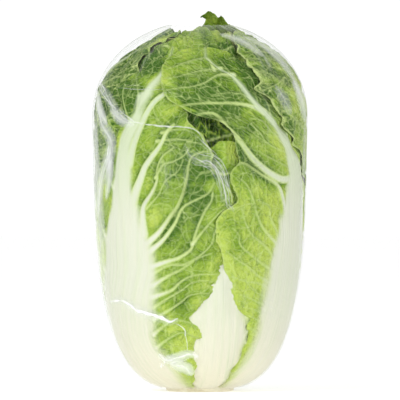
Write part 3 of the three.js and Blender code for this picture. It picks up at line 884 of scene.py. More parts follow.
RIGHT_FRONT = LeafPlan(
    node="leaf_right_front",
    tip=276.5,
    round_off=17,
    low=(
        (1.2, 32), (12, 31), (24, 32), (36, 34), (45, 35), (53, 31.5), (58, 33.5), (63, 28), (70, 22),
        (78, 19.5), (86, 19), (94, 15.5), (108, 13), (121, 10), (136, 9), (146, 14), (153, 21),
        (164, 18), (176, 18), (186, 21), (196, 21), (206, 18), (213, 14.5), (217, 10), (220, 1),
        (223, -5), (228, -10), (234, -17), (247, -23), (258, -24.5), (268, -24),
    ),
    midrib=(
        (1.2, 60), (12, 64), (24, 68), (60, 68), (98, 68), (121, 69), (137, 67.5), (169, 66.5),
        (185, 62.5), (196, 58), (205, 51.5), (215, 43.8), (224, 36.3), (235, 29), (246, 23.8),
        (254, 18.5), (259, 12), (268, 4),
    ),
    high=(
        (1.2, 90), (24, 93), (60, 94), (98, 96), (121, 98), (150, 97), (176, 93), (193, 88), (206, 82),
        (217, 77), (225, 72), (234, 66), (247, 58), (258, 45), (268, 30),
    ),
    rib=(
        (1.2, 11), (12, 25), (24, 30), (45, 31.5), (60, 33), (73, 33.5), (98, 33), (112, 31),
        (121, 29.5), (129, 26.5), (137, 23.5), (153, 18.5), (169, 14.2), (185, 11.3), (196, 9.5),
        (205, 7), (215, 5.2), (224, 4), (235, 2.8), (246, 2.2), (254, 1.4), (262, 0.8), (272, 0.3),
    ),
    veins=(
        Vein(((8, 260), (5, 267), (-3, 266), (-13, 262), (-21, 258)), 1.3, 0.6),
        Vein(((11, 259), (5, 258), (0, 257), (-9, 254), (-18, 251)), 1.2, 0.6),
        Vein(((18, 254), (12, 254), (8, 252), (2, 247), (-6, 244), (-13, 243), (-20, 241)), 1.5, 0.6),
        Vein(
            (
                (35, 225), (30, 228), (24, 230), (18, 231), (10, 231), (1, 231), (-7, 230), (-13, 227),
                (-19, 225),
            ),
            2.0, 0.8, 0.8,
        ),
        Vein(
            (
                (62, 171), (51, 170), (43, 174), (37, 179), (31, 186), (26, 194), (21, 203), (15, 212),
                (11, 219), (7, 223), (2, 223), (-2, 221), (-5, 218),
            ),
            2.7, 1.1, 4.5,
        ),
        Vein(
            (
                (59, 126), (55, 142), (52, 154), (48, 165), (42, 170), (36, 174), (30, 179), (25, 183),
                (18, 184),
            ),
            2.8, 1.0, 1.8,
        ),
        Vein(((66, 185), (55, 191), (45, 195), (38, 200), (34, 207), (28, 214)), 1.2, 0.5),
        Vein(((66, 175), (55, 180), (45, 185), (38, 189), (33, 193)), 1.1, 0.5),
        Vein(((57, 199), (49, 203), (41, 209), (35, 217), (27, 219)), 1.1, 0.5),
        Vein(((31, 231), (27, 236), (21, 239), (12, 239), (6, 237)), 1.0, 0.5),
        Vein(((23, 246), (21, 250), (17, 258), (13, 266)), 0.9, 0.5),
        Vein(((53, 112), (47, 129), (42, 140), (41, 148), (33, 154)), 1.9, 0.7),
        Vein(((50, 116), (38, 130), (33, 142), (30, 155), (26, 166), (21, 172)), 1.7, 0.6, 1.0),
        Vein(((49, 103), (40, 116), (30, 126), (25, 138), (24, 147)), 1.6, 0.6),
        Vein(((48, 96), (39, 102), (31, 109), (23, 118), (22, 126), (18, 132)), 1.5, 0.6, 0.8),
        Vein(((48, 86), (36, 93), (28, 101), (22, 106), (16, 112)), 1.5, 0.6),
        Vein(((49, 81), (37, 87), (28, 89), (18, 93)), 1.4, 0.6),
        Vein(((49, 74), (39, 78), (33, 82), (28, 88)), 1.2, 0.5),
        Vein(((49, 67), (38, 72), (32, 75), (24, 79)), 1.3, 0.5),
        Vein(((47, 60), (36, 66), (26, 69)), 1.1, 0.5),
        Vein(((47, 52), (37, 59), (30, 62)), 1.2, 0.5),
        Vein(((48, 42), (37, 50), (31, 52)), 1.1, 0.5),
        Vein(((48, 30), (38, 38), (32, 40)), 1.0, 0.5),
        Vein(((41, 220), (40, 232), (36, 244), (29, 256)), 1.2, 0.5),
        Vein(((56, 200), (56, 213), (51, 226), (44, 240)), 1.3, 0.5),
        Vein(((70, 178), (74, 194), (73, 208)), 1.5, 0.6),
        Vein(((76, 150), (82, 166), (86, 180)), 1.6, 0.6),
        Vein(((82, 118), (88, 134), (94, 146)), 1.6, 0.6),
        Vein(((86, 84), (92, 98), (96, 108)), 1.4, 0.6),
    ),
    tone=((0, 0.25), (40, 0.25), (110, 0.3), (150, 0.34), (190, 0.4), (240, 0.55), (296, 0.55)),
    patches=(
        (5, 238, 15, 0.7), (20, 240, 10, 0.2), (12, 116, 11, -0.4), (30, 152, 12, -0.1),
        (38, 176, 9, 0.4), (26, 30, 16, -0.6), (34, 252, 10, 0.45), (36, 232, 8, 0.3),
        (20, 216, 9, 0.4), (13, 152, 9, -0.3), (17, 100, 12, -0.45), (20, 226, 9, 0.25),
        (17, 263, 7, 0.5), (28, 212, 10, 0.3), (40, 205, 8, 0.2), (28, 62, 14, -0.4),
        (-16, 239, 8, 0.35), (3, 228, 9, 0.55), (29, 250, 8, 0.35), (46, 217, 7, 0.4),
        (53, 208, 7, 0.35), (40, 118, 18, -0.4), (38, 90, 14, -0.3), (50, 155, 8, -0.7),
        (30, 40, 9, -0.4), (18, 92, 8, -0.4), (-20, 247, 7, -0.4), (-8, 246, 9, 0.25), (8, 232, 9, 0.5),
        (29, 260, 5, 0.9), (33, 252, 5, 0.8), (37, 246, 5, 0.7), (44, 142, 12, -0.4), (40, 161, 7, 0.1),
        (25, 191, 6, 0.6), (31, 183, 6, 0.6), (39, 174, 6, 0.3), (5, 226, 6, 0.4), (24, 117, 11, 0.35),
        (27, 73, 6, 0.3), (30, 238, 8, 0.5), (42, 226, 7, 0.4), (26, 223, 8, -0.5), (50, 193, 8, -0.5),
        (44, 202, 8, -0.3),
    ),
    vein_count=0,
    frill=0.9,
    cells=(300, 210),
    seed=23,
)

RIGHT_BACK = LeafPlan(
    node="leaf_right_back",
    tip=291,
    low=(
        (1.2, 102), (24, 102), (60, 101), (95, 100), (129, 97), (161, 91), (185, 76), (200, 63),
        (213, 51), (218, 53), (227, 44), (238, 40), (244, 33), (250, 38), (258, 34.5), (265, 32),
        (285, 30),
    ),
    midrib=(
        (1.2, 122), (95, 123), (161, 120), (193, 117), (213, 113), (227, 109), (248, 101), (265, 92),
        (285, 72),
    ),
    high=(
        (1.2, 151), (60, 154), (129, 170), (161, 175), (193, 175), (227, 165), (248, 152), (265, 136),
        (285, 112),
    ),
    rib=(
        (1.2, 13), (24, 17), (60, 18), (95, 17), (129, 14), (161, 11), (193, 8), (213, 6), (248, 4),
        (285, 2),
    ),
    tone=((0, 0.2), (150, 0.45), (220, 0.55), (296, 0.55)),
    patches=(
        (46, 262, 14, 0.35), (43, 232, 11, 0.45), (86, 200, 20, -0.3), (64, 235, 10, -0.7),
        (82, 238, 16, -0.8), (60, 248, 5, 1.0), (58, 210, 8, 0.5),
    ),
    veins=(
        Vein(((101, 262), (72, 272), (46, 272), (44, 267), (34, 267)), 1.2, 0.6, 1.0),
        Vein(((104, 250), (80, 262), (57, 268), (51, 262), (41, 256), (37, 256)), 1.1, 0.6),
        Vein(((57, 268), (68, 262), (73, 260)), 0.8, 0.6),
        Vein(
            (
                (108, 228), (80, 238), (66, 250), (59, 251), (49, 246), (41, 243), (37, 242),
            ),
            1.3, 0.7, -2.0,
        ),
        Vein(((58, 250), (51, 241), (50, 236)), 0.9, 0.6, 1.5),
        Vein(((110, 212), (84, 224), (77, 237), (67, 249)), 1.1, 0.6, 1.5),
        Vein(((80, 232), (60, 238), (58, 220)), 0.9, 0.6),
        Vein(((112, 192), (92, 206), (76, 214), (62, 214)), 1.1, 0.6),
        Vein(((113, 172), (98, 184), (84, 192)), 1.1, 0.6),
    ),
    net=1.7,
    crumple=0.6,
    frill=2.6,
    rim=0.9,
    rumple=2.0,
    cells=(260, 130),
    seed=31,
)

LEFT_BACK = LeafPlan(
    node="leaf_left_back",
    tip=293,
    low=(
        (1.2, -147), (60, -149), (95, -156), (129, -162), (161, -168), (193, -169), (225, -163),
        (240, -155), (263, -138), (285, -112),
    ),
    midrib=(
        (1.2, -118), (161, -117), (193, -115), (225, -110), (240, -106), (263, -95), (276, -85),
        (285, -76),
    ),
    high=(
        (1.2, -94), (60, -82), (110, -72), (161, -58), (193, -48), (225, -42), (240, -42), (252, -44),
        (262, -44), (275, -46), (285, -34), (292, -18),
    ),
    rib=(
        (1.2, 13), (24, 17), (60, 18), (95, 17), (129, 14), (161, 11), (193, 8), (225, 5.5), (263, 3.2),
        (285, 2),
    ),
    tone=((0, 0.3), (150, 0.75), (220, 0.95), (296, 1.0)),
    patches=(
        (-42, 281, 9, -0.9), (-60, 232, 14, 0.3), (-63, 243, 13, 0.6), (-52, 264, 9, 1.2),
        (-46, 262, 7, 1.0),
    ),
    net=1.25,
    crumple=0.75,
    round_off=18,
    frill=2.2,
    crinkle=1.5,
    rumple=3.2,
    cells=(260, 130),
    seed=43,
)

FRONT_INNER = LeafPlan(
    node="leaf_front_inner",
    tip=201,
    round_off=3,
    blunt=4,
    low=(
        (1.2, -20), (20, -19), (45, -19), (80, -21), (120, -27), (150, -31), (176, -12), (186, -4),
        (192, 2), (197, 8), (200, 10),
    ),
    midrib=((1.2, 11), (150, 11), (180, 13), (200, 14)),
    high=(
        (1.2, 40), (20, 40), (45, 40), (80, 40), (120, 43), (145, 42), (160, 34), (172, 29), (181, 27),
        (188, 28), (194, 28), (198, 25), (200, 21),
    ),
    rib=((1.2, 14), (20, 22), (45, 25), (80, 22), (120, 9), (150, 5), (180, 3), (200, 1.5)),
    tone=((0, 0.1), (150, 0.6), (176, 0.6), (190, 0.3), (205, 0.15)),
    patches=((8, 189, 7, 0.45), (2, 181, 9, 0.4)),
    green_rib=150,
    frill=2.0,
    crinkle=1.2,
    cells=(190, 100),
    seed=53,
)


def plain_leaf(node: str, angle: float, tip: float, spread: float, lean: float, **more: Any) -> LeafPlan:
    """Plans an ordinary wrapper leaf, whose midrib stays near one angle.

    Args:
        node: the solid that it stands for.
        angle: where its midrib starts.
        tip: the height of its tip.
        spread: how wide its upper blade is, against a full one.
        lean: how far its midrib turns by the crown.
        more: other values of the plan.

    Returns:
        The plan.
    """
    halves = (
        (1.2, 28, 14), (20, 28, 20), (50, 27, 23), (85, 32, 21), (130, 41, 15), (180, 49, 9),
        (225, 53, 5.5), (255, 52, 4), (275, 46, 3), (288, 40, 2.2), (294, 34, 2),
    )
    low, midrib, high, rib = [], [], [], []
    for height, half, rib_half in halves:
        if height < tip:
            middle = angle + lean * height / HEIGHT
            wide = half * blend(1, spread, float(smooth(np.array(height), 40, 160)))
            low.append((height, middle - wide))
            midrib.append((height, middle))
            high.append((height, middle + wide))
            rib.append((height, rib_half))
    rows = {"low": tuple(low), "midrib": tuple(midrib), "high": tuple(high), "rib": tuple(rib)}
    return LeafPlan(node=node, tip=tip, **rows, **more)


BACK = plain_leaf(
    "leaf_back",
    angle=180,
    tip=294.8,
    spread=0.96,
    lean=-33,
    blunt=11.5,
    frill=1.4,
    rumple=1.6,
    rim=0.1,
    tone=((0, 0.2), (150, 0.4), (250, 0.5), (282, 0.5), (292, 0.52)),
    cells=(230, 120),
    flag=True,
    seed=3,
)

FRONT_CROWN = plain_leaf(
    "leaf_front_crown",
    angle=4,
    tip=293,
    spread=1.05,
    lean=-4,
    frill=2.4,
    crinkle=1.5,
    rumple=2.2,
    rim=0.6,
    crumple=0.3,
    tone=((0, 0.1), (150, 0.5), (195, 0.85), (240, 0.9), (262, 0.7), (275, 0.5), (296, 0.3)),
    patches=(
        (-20, 280, 9, -0.2), (-19, 286, 5, 0.3), (7, 281, 6, 0.6), (22, 275, 8, 0.9), (17, 264, 9, 0.3),
        (-39, 262, 11, 1.0), (-33, 270, 9, 0.9),
    ),
    green_rib=185,
    cells=(260, 120),
    eye=True,
    seed=61,
)

HIDDEN = {
    "tone": ((0, 0.1), (200, 0.7), (296, 0.4)),
    "green_rib": 190,
    "cells": (120, 64),
    "slot": "inner_leaf",
}

# The order in which they are laid, from the film inwards.
LEAVES = (
    BACK,
    RIGHT_BACK,
    RIGHT_FRONT,
    LEFT_FRONT,
    LEFT_BACK,
    FRONT_INNER,
    FRONT_CROWN,
    plain_leaf("leaf_right_inner", 86, 286, 0.9, -8, eye=True, seed=71, **HIDDEN),
    plain_leaf("leaf_left_inner", -88, 287, 0.9, 10, eye=True, seed=73, **HIDDEN),
    plain_leaf("leaf_right_back_inner", 150, 285, 0.85, 4, seed=79, **HIDDEN),
    plain_leaf("leaf_left_back_inner", -148, 284, 0.85, -6, seed=83, **HIDDEN),
)


class Tracing:
    """Veins drawn on a fine map over angle and arc length, to be read at any place on a leaf.

    The maps hold the distance to the nearest vein in its half widths (reach) and from its side (gap), to
    the nearest small vein (branch) and to the smallest (twig), how high a vein stands out (ridge) and how
    far the blade drops beside one (fold).
    """

    STEP = 0.5
    FAR = 30.0
    VEIN_MARGIN = 16.0
    BRANCH_MARGIN = 3.0
    STRIDE = 1.4
    MEETING = 0.35

    def __init__(self, low: float, high: float, first: float, last: float) -> None:
        """Starts an empty map.

        Args:
            low: the smallest angle on it.
            high: the largest.
            first: the smallest arc length.
            last: the largest.
        """
        self.turn = math.degrees(self.STEP / (WIDTH / 2))
        self.low, self.first = low, first
        self.angle = np.arange(low, high + self.turn, self.turn)
        self.arc = np.arange(first, last + self.STEP, self.STEP)
        shape = (len(self.arc), len(self.angle))
        self.maps = {key: np.full(shape, self.FAR) for key in ("reach", "gap", "branch", "twig")}
        self.maps |= {key: np.zeros(shape) for key in ("ridge", "fold")}

    def _window(self, ends: np.ndarray, margin: float) -> tuple[slice, slice, float]:
        """Returns the rows and columns near a short line, and the head's radius there."""
        radius = max(float(ENVELOPE.radius(ends[:, 1].mean())), NEAR_POLE)
        side = math.degrees(margin / radius)
        columns = (ends[:, 0] - self.low + np.array([-side, side])) / self.turn
        rows = (ends[:, 1] - self.first + np.array([-margin, margin])) / self.STEP
        columns, rows = np.clip(columns, 0, len(self.angle)), np.clip(rows, 0, len(self.arc))
        return slice(int(rows[0]), int(rows[1]) + 1), slice(int(columns[0]), int(columns[1]) + 1), radius

    def draw(self, line: np.ndarray, widths: np.ndarray, fold: float = 0.0, branch: str = "") -> None:
        """Draws one vein.

        Args:
            line: (angle, arc) points, the columns of an array.
            widths: its half width at each point.
            fold: how far the blade drops beside it, above 0 on the left.
            branch: the map of a small one, which only marks the surface.
        """
        margin = self.BRANCH_MARGIN if branch else self.VEIN_MARGIN
        share = np.linspace(0, 1, len(line))
        for k in range(len(line) - 1):
            ends = line[k : k + 2]
            rows, columns, radius = self._window(np.sort(ends, axis=0), margin)
            x = np.radians(self.angle[columns][None, :] - ends[0, 0]) * radius
            y = self.arc[rows][:, None] - ends[0, 1]
            seg_x, seg_y = math.radians(ends[1, 0] - ends[0, 0]) * radius, ends[1, 1] - ends[0, 1]
            t = np.clip((x * seg_x + y * seg_y) / max(seg_x**2 + seg_y**2, 1e-6), 0, 1)
            away = np.hypot(x - t * seg_x, y - t * seg_y)
            if branch:
                self._keep(branch, rows, columns, np.minimum, away)
                continue
            width = blend(widths[k], widths[k + 1], t)
            near = away / width
            self._keep("reach", rows, columns, np.minimum, near)
            self._keep("gap", rows, columns, np.minimum, away - width)
            self._keep("ridge", rows, columns, np.maximum, width * np.exp(-((near / 1.1) ** 2)))
            if fold:
                left = (seg_x * y - seg_y * x) * math.copysign(1.0, fold) > 0
                along = np.sin(math.pi * np.clip(blend(share[k], share[k + 1], t), 0.03, 0.97)) ** 0.6
                drop = abs(fold) * along * np.exp(-np.maximum(away - width, 0) / 5) * smooth(near, 0.5, 1.3)
                self._keep("fold", rows, columns, np.maximum, drop * left)

    def _keep(self, key: str, rows: slice, columns: slice, choose: np.ufunc, value: np.ndarray) -> None:
        """Keeps the smaller or larger of a map's values and new ones, in a part of it."""
        part = self.maps[key][rows, columns]
        choose(part, value, out=part)

    def grow(
        self, lines: list[np.ndarray], branch: str, spacing: float, longest: float, rng: np.random.Generator
    ) -> list[np.ndarray]:
        """Lets small veins branch off from both sides of larger ones until each meets another.

        Args:
            lines: the larger veins, as (angle, arc) points.
            branch: the map that the new ones are drawn on.
            spacing: the usual distance between two branches.
            longest: the longest branch.
            rng: the random source.

        Returns:
            The new veins.
        """
        grown = []
        for line in lines:
            radius = max(float(ENVELOPE.radius(line[:, 1].mean())), NEAR_POLE)
            flat = np.stack([np.radians(line[:, 0]) * radius, line[:, 1]], axis=1)
            steps = np.concatenate([[0], np.cumsum(np.hypot(*np.diff(flat, axis=0).T))])
            place, side = spacing * rng.uniform(0.3, 0.9), rng.choice((-1, 1))
            while place < steps[-1]:
                k = min(int(np.searchsorted(steps, place)) - 1, len(flat) - 2)
                share = (place - steps[k]) / max(steps[k + 1] - steps[k], 1e-6)
                start = blend(line[k], line[k + 1], share)
                heading = math.atan2(*(flat[k + 1] - flat[k])[::-1]) + side * rng.uniform(0.75, 1.35)
                path = self._walk(start, heading, longest * rng.uniform(0.6, 1.2), rng)
                if len(path) > 4:
                    self.draw(path, np.ones(len(path)), branch=branch)
                    grown.append(path)
                place += spacing * rng.uniform(0.6, 1.4) / 2
                side = -side
        return grown

    def _walk(
        self, start: np.ndarray, heading: float, length: float, rng: np.random.Generator
    ) -> np.ndarray:
        """Returns the path of one branch, which wanders until it meets a vein, or only its start."""
        path = [start]
        met = False
        for step in range(int(length / self.STRIDE)):
            radius = max(float(ENVELOPE.radius(path[-1][1])), NEAR_POLE)
            heading += rng.normal(0, 0.13)
            move = (math.degrees(self.STRIDE * math.cos(heading) / radius), self.STRIDE * math.sin(heading))
            path.append(path[-1] + np.array(move))
            i = int((path[-1][1] - self.first) / self.STEP)
            j = int((path[-1][0] - self.low) / self.turn)
            if not (0 <= i < len(self.arc) and 0 <= j < len(self.angle)):
                break
            met = step > 2 and min(self.maps[key][i, j] for key in ("gap", "branch", "twig")) < self.MEETING
            if met:
                break
        return np.array(path if met or rng.random() < 0.25 else path[:1])

    def read(self, key: str, angle: np.ndarray, arc: np.ndarray) -> np.ndarray:
        """Returns one map's value at each place."""
        grid = self.maps[key]
        i = np.clip((arc - self.first) / self.STEP, 0, grid.shape[0] - 1.001)
        j = np.clip((angle - self.low) / self.turn, 0, grid.shape[1] - 1.001)
        i0, j0 = i.astype(int), j.astype(int)
        low = blend(grid[i0, j0], grid[i0, j0 + 1], j - j0)
        high = blend(grid[i0 + 1, j0], grid[i0 + 1, j0 + 1], j - j0)
        return blend(low, high, i - i0)


def over_height(rows: Points) -> Curve:
    """Returns a curve over arc length from (height, value) rows."""
    table = np.array(rows, float)
    return Curve(ENVELOPE.arc_at(table[:, 0]), table[:, 1])


@dataclass
class Places:
    """Where the points of a leaf's grid lie.

    Attributes:
        share: share of the way from the leaf's foot to its tip, as a column.
        angle: degrees round the head.
        arc: arc length up its side.
        height: height on the head's outside.
        outward: share of the way from the rib to the edge.
        sideways: distance from the midrib's middle, with a sign.
        past_rib: distance from the rib's side, negative on it.
    """

    share: np.ndarray
    angle: np.ndarray
    arc: np.ndarray
    height: np.ndarray
    outward: np.ndarray
    sideways: np.ndarray
    past_rib: np.ndarray

    def swell(self, length: float, seed: int, stretch: float = 1.0) -> np.ndarray:
        """Returns smooth random swells over the leaf, squeezed across it by stretch."""
        return swell(self.sideways * stretch, self.arc, length, seed)


class Skin:
    """How a leaf's surface rises and is coloured, at each point of its grid."""

    CELL = 4.2
    VEIN_RISE = 0.5
    NET_SINK = 1.3
    BLISTER_RISE = 0.8
    RUMPLE_RISE = 0.6
    FOLD_RISE = 4.5
    FINE_COLUMNS = 80
    WIDE_RIB = 4

    def __init__(self, leaf: "Leaf", places: Places) -> None:
        """Works out where the veins, blisters, rumples and folds are.

        Args:
            leaf: the leaf.
            places: where the points of its grid lie.
        """
        self.plan, self.leaf, self.places = leaf.plan, leaf, places
        seed, arc = leaf.plan.seed, places.arc
        tracing = leaf.trace()
        traced = (tracing.read(key, places.angle, arc) for key in tracing.maps)
        self.reach, self.gap, self.branch, self.twig, self.ridge, self.fold = traced
        self.blade = smooth(places.past_rib, -1.0, 3.5)
        self.fine = leaf.plan.cells[1] > self.FINE_COLUMNS
        self.small = self.CELL * cell_edge(
            (places.sideways + 1.8 * places.swell(14, seed + 1)) / self.CELL,
            (arc + 1.8 * places.swell(14, seed + 2)) / self.CELL,
            seed,
        )
        self.clear = np.minimum(np.maximum(self.gap, 0), np.minimum(self.branch, self.twig + 0.4))
        self.blister = smooth(self.small, 0.0, 1.5) * smooth(self.clear, 0.2, 1.6)
        self.upper = 0.25 + 0.75 * smooth(places.height, 170, 245)
        self.soft = smooth(places.outward, 0.3, 1.0)
        rumple = 1 - 2.2 * np.abs(places.swell(30, seed + 3))
        self.rumple = rumple + 0.5 * places.swell(11, seed + 7)
        self.eye = HOLLOW.deeper(places.angle, arc) / HOLLOW.depth * leaf.plan.eye
        self.folds = 1 - 2.6 * np.abs(places.swell(10, seed + 13)) + 0.4 * places.swell(4, seed)
        self.white_rib = 1 - smooth(places.height, leaf.plan.green_rib - 30, leaf.plan.green_rib)

    def rise(self) -> np.ndarray:
        """Returns how far each point stands out."""
        plan, places, blade = self.plan, self.places, self.blade
        sunk = 1 - np.exp(-((self.clear / 1.7) ** 1.4))
        ruffle = places.swell(15, plan.seed + 4, stretch=0.6) * smooth(places.outward, 0.5, 1.0)
        rise = (
            self.VEIN_RISE * self.ridge * (0.35 + 0.65 * blade)
            - self.NET_SINK * plan.crinkle * (sunk - 0.5) * blade
            - self.BLISTER_RISE * plan.crinkle * (self.blister - 0.5) * blade * self.fine
            - self.fold * blade
            + self.RUMPLE_RISE * plan.rumple * self.rumple * self.upper * blade * (0.4 + 0.6 * self.soft)
            + plan.frill * ruffle * blade
        )
        return rise + self.FOLD_RISE * self.eye * self.folds

    def masks(self) -> dict[str, np.ndarray]:
        """Returns the numbers that the leaf's material reads."""
        plan, places, eye = self.plan, self.places, self.eye
        rim = smooth(places.outward, 0.96, 0.985) * plan.rim
        thin = np.maximum(
            0.9 * (1 - smooth(self.branch, 0.1, 0.75)), 0.3 * (1 - smooth(self.twig, 0.1, 0.7))
        )
        thin = thin * (0.75 + 0.35 * places.swell(17, plan.seed + 12)) * self.blade * plan.net
        net = thin + 0.12 * (1 - smooth(self.small, 0.1, 0.7)) * self.blade * self.fine
        thick_vein = (1 - smooth(self.reach, 0.3, 1.15)) * smooth(self.ridge, 1.1, 2.3)
        vein = (1 - smooth(self.gap, -0.4, 0.4)) * blend(0.6, 1.0, smooth(self.ridge, 0.5, 1.6))
        return {
            "rib": np.maximum(self._ribbed(), thick_vein),
            "vein": np.maximum(vein, rim * self.blade),
            "crumple": plan.crumple * (0.2 + 0.8 * smooth(places.height, 150, 230)) * (1 - 0.6 * eye),
            "net": np.clip(net, 0, 1) * (1 - 0.85 * eye),
            "tone": np.clip(self._tone_and_painted_shade(), 0, 1.2),
        }

    def _ribbed(self) -> np.ndarray:
        """Returns how white the rib is, with a rough side that fades into the blade near the foot."""
        wide = self.leaf.rib(self.places.arc) > self.WIDE_RIB
        rough = 1.6 * self.places.swell(24, self.plan.seed + 8, stretch=2.2) * wide
        rough_side = self.places.past_rib + rough
        fading = 7 * (1 - smooth(self.places.height, 70, 190)) * wide
        return (1 - smooth(rough_side, -3.0 - 0.3 * fading, 2.5 + fading)) * self.white_rib

    def _tone_and_painted_shade(self) -> np.ndarray:
        """Returns how dark a green each point is."""
        places = self.places
        tone = self.leaf.tone(places.arc)
        # Darker or lighter patches; many darker ones are painted shade in gaps, beside overlapping edges
        # and under folds.
        for angle, height, size, change in self.plan.patches:
            across = np.radians(places.angle - angle) * ENVELOPE.radius(places.arc)
            far = np.hypot(across, places.height - height)
            tone = tone + change * np.exp(-((far / size) ** 2))
        # Painted shade: darker in a narrow band beside each vein, where the vein shades the blade.
        tone = tone + 0.3 * np.exp(-np.maximum(self.gap, 0) / 2.2)
        tone = tone + 0.16 * places.swell(30, self.plan.seed + 6)
        beside_rib = 1 - smooth(places.past_rib, 1.0, 6.0)
        # Painted shade where the blade drops beside a vein (fold); the blade is also lighter beside the
        # white rib.
        tone = tone + 0.16 * np.clip(self.fold, 0, 4) - 0.25 * beside_rib * self.white_rib
        # Painted shade and light: darker in the sunk blisters, lighter on the raised large swells and
        # darker in their troughs.
        tone = tone + 0.12 * (self.blister - 0.5) * self.fine - 0.3 * self.rumple * self.upper * self.soft
        # Painted shade in the hollow at the front, with painted light on the folds that rise in it.
        return tone + (0.35 - 1.2 * self.folds) * self.eye


@dataclass(frozen=True)
class Flag:
    """How the back leaf's tip stands up through the film.

    Attributes:
        start: how far below the tip it starts to rise.
        towards: how far it leans to the right.
        peaks: (x, rise) of its lobes.
        slope: how steeply a lobe falls off on both sides.
        least: the least rise of the tip between and beside them.
    """

    start: float = 26.0
    towards: float = 3.5
    peaks: Points = ((3.5, 12.5), (13.5, 8.0))
    slope: float = 0.9
    least: float = 2.5

    def lift(self, points: np.ndarray, up: np.ndarray) -> np.ndarray:
        """Returns the points moved up and sideways by a share that grows to 1 at the tip."""
        lobes = [height - self.slope * np.abs(points[..., 0] - at) for at, height in self.peaks]
        rise = np.maximum(np.maximum(*lobes), self.least) * up
        return points + np.stack([self.towards * up, 0 * up, rise], axis=-1)


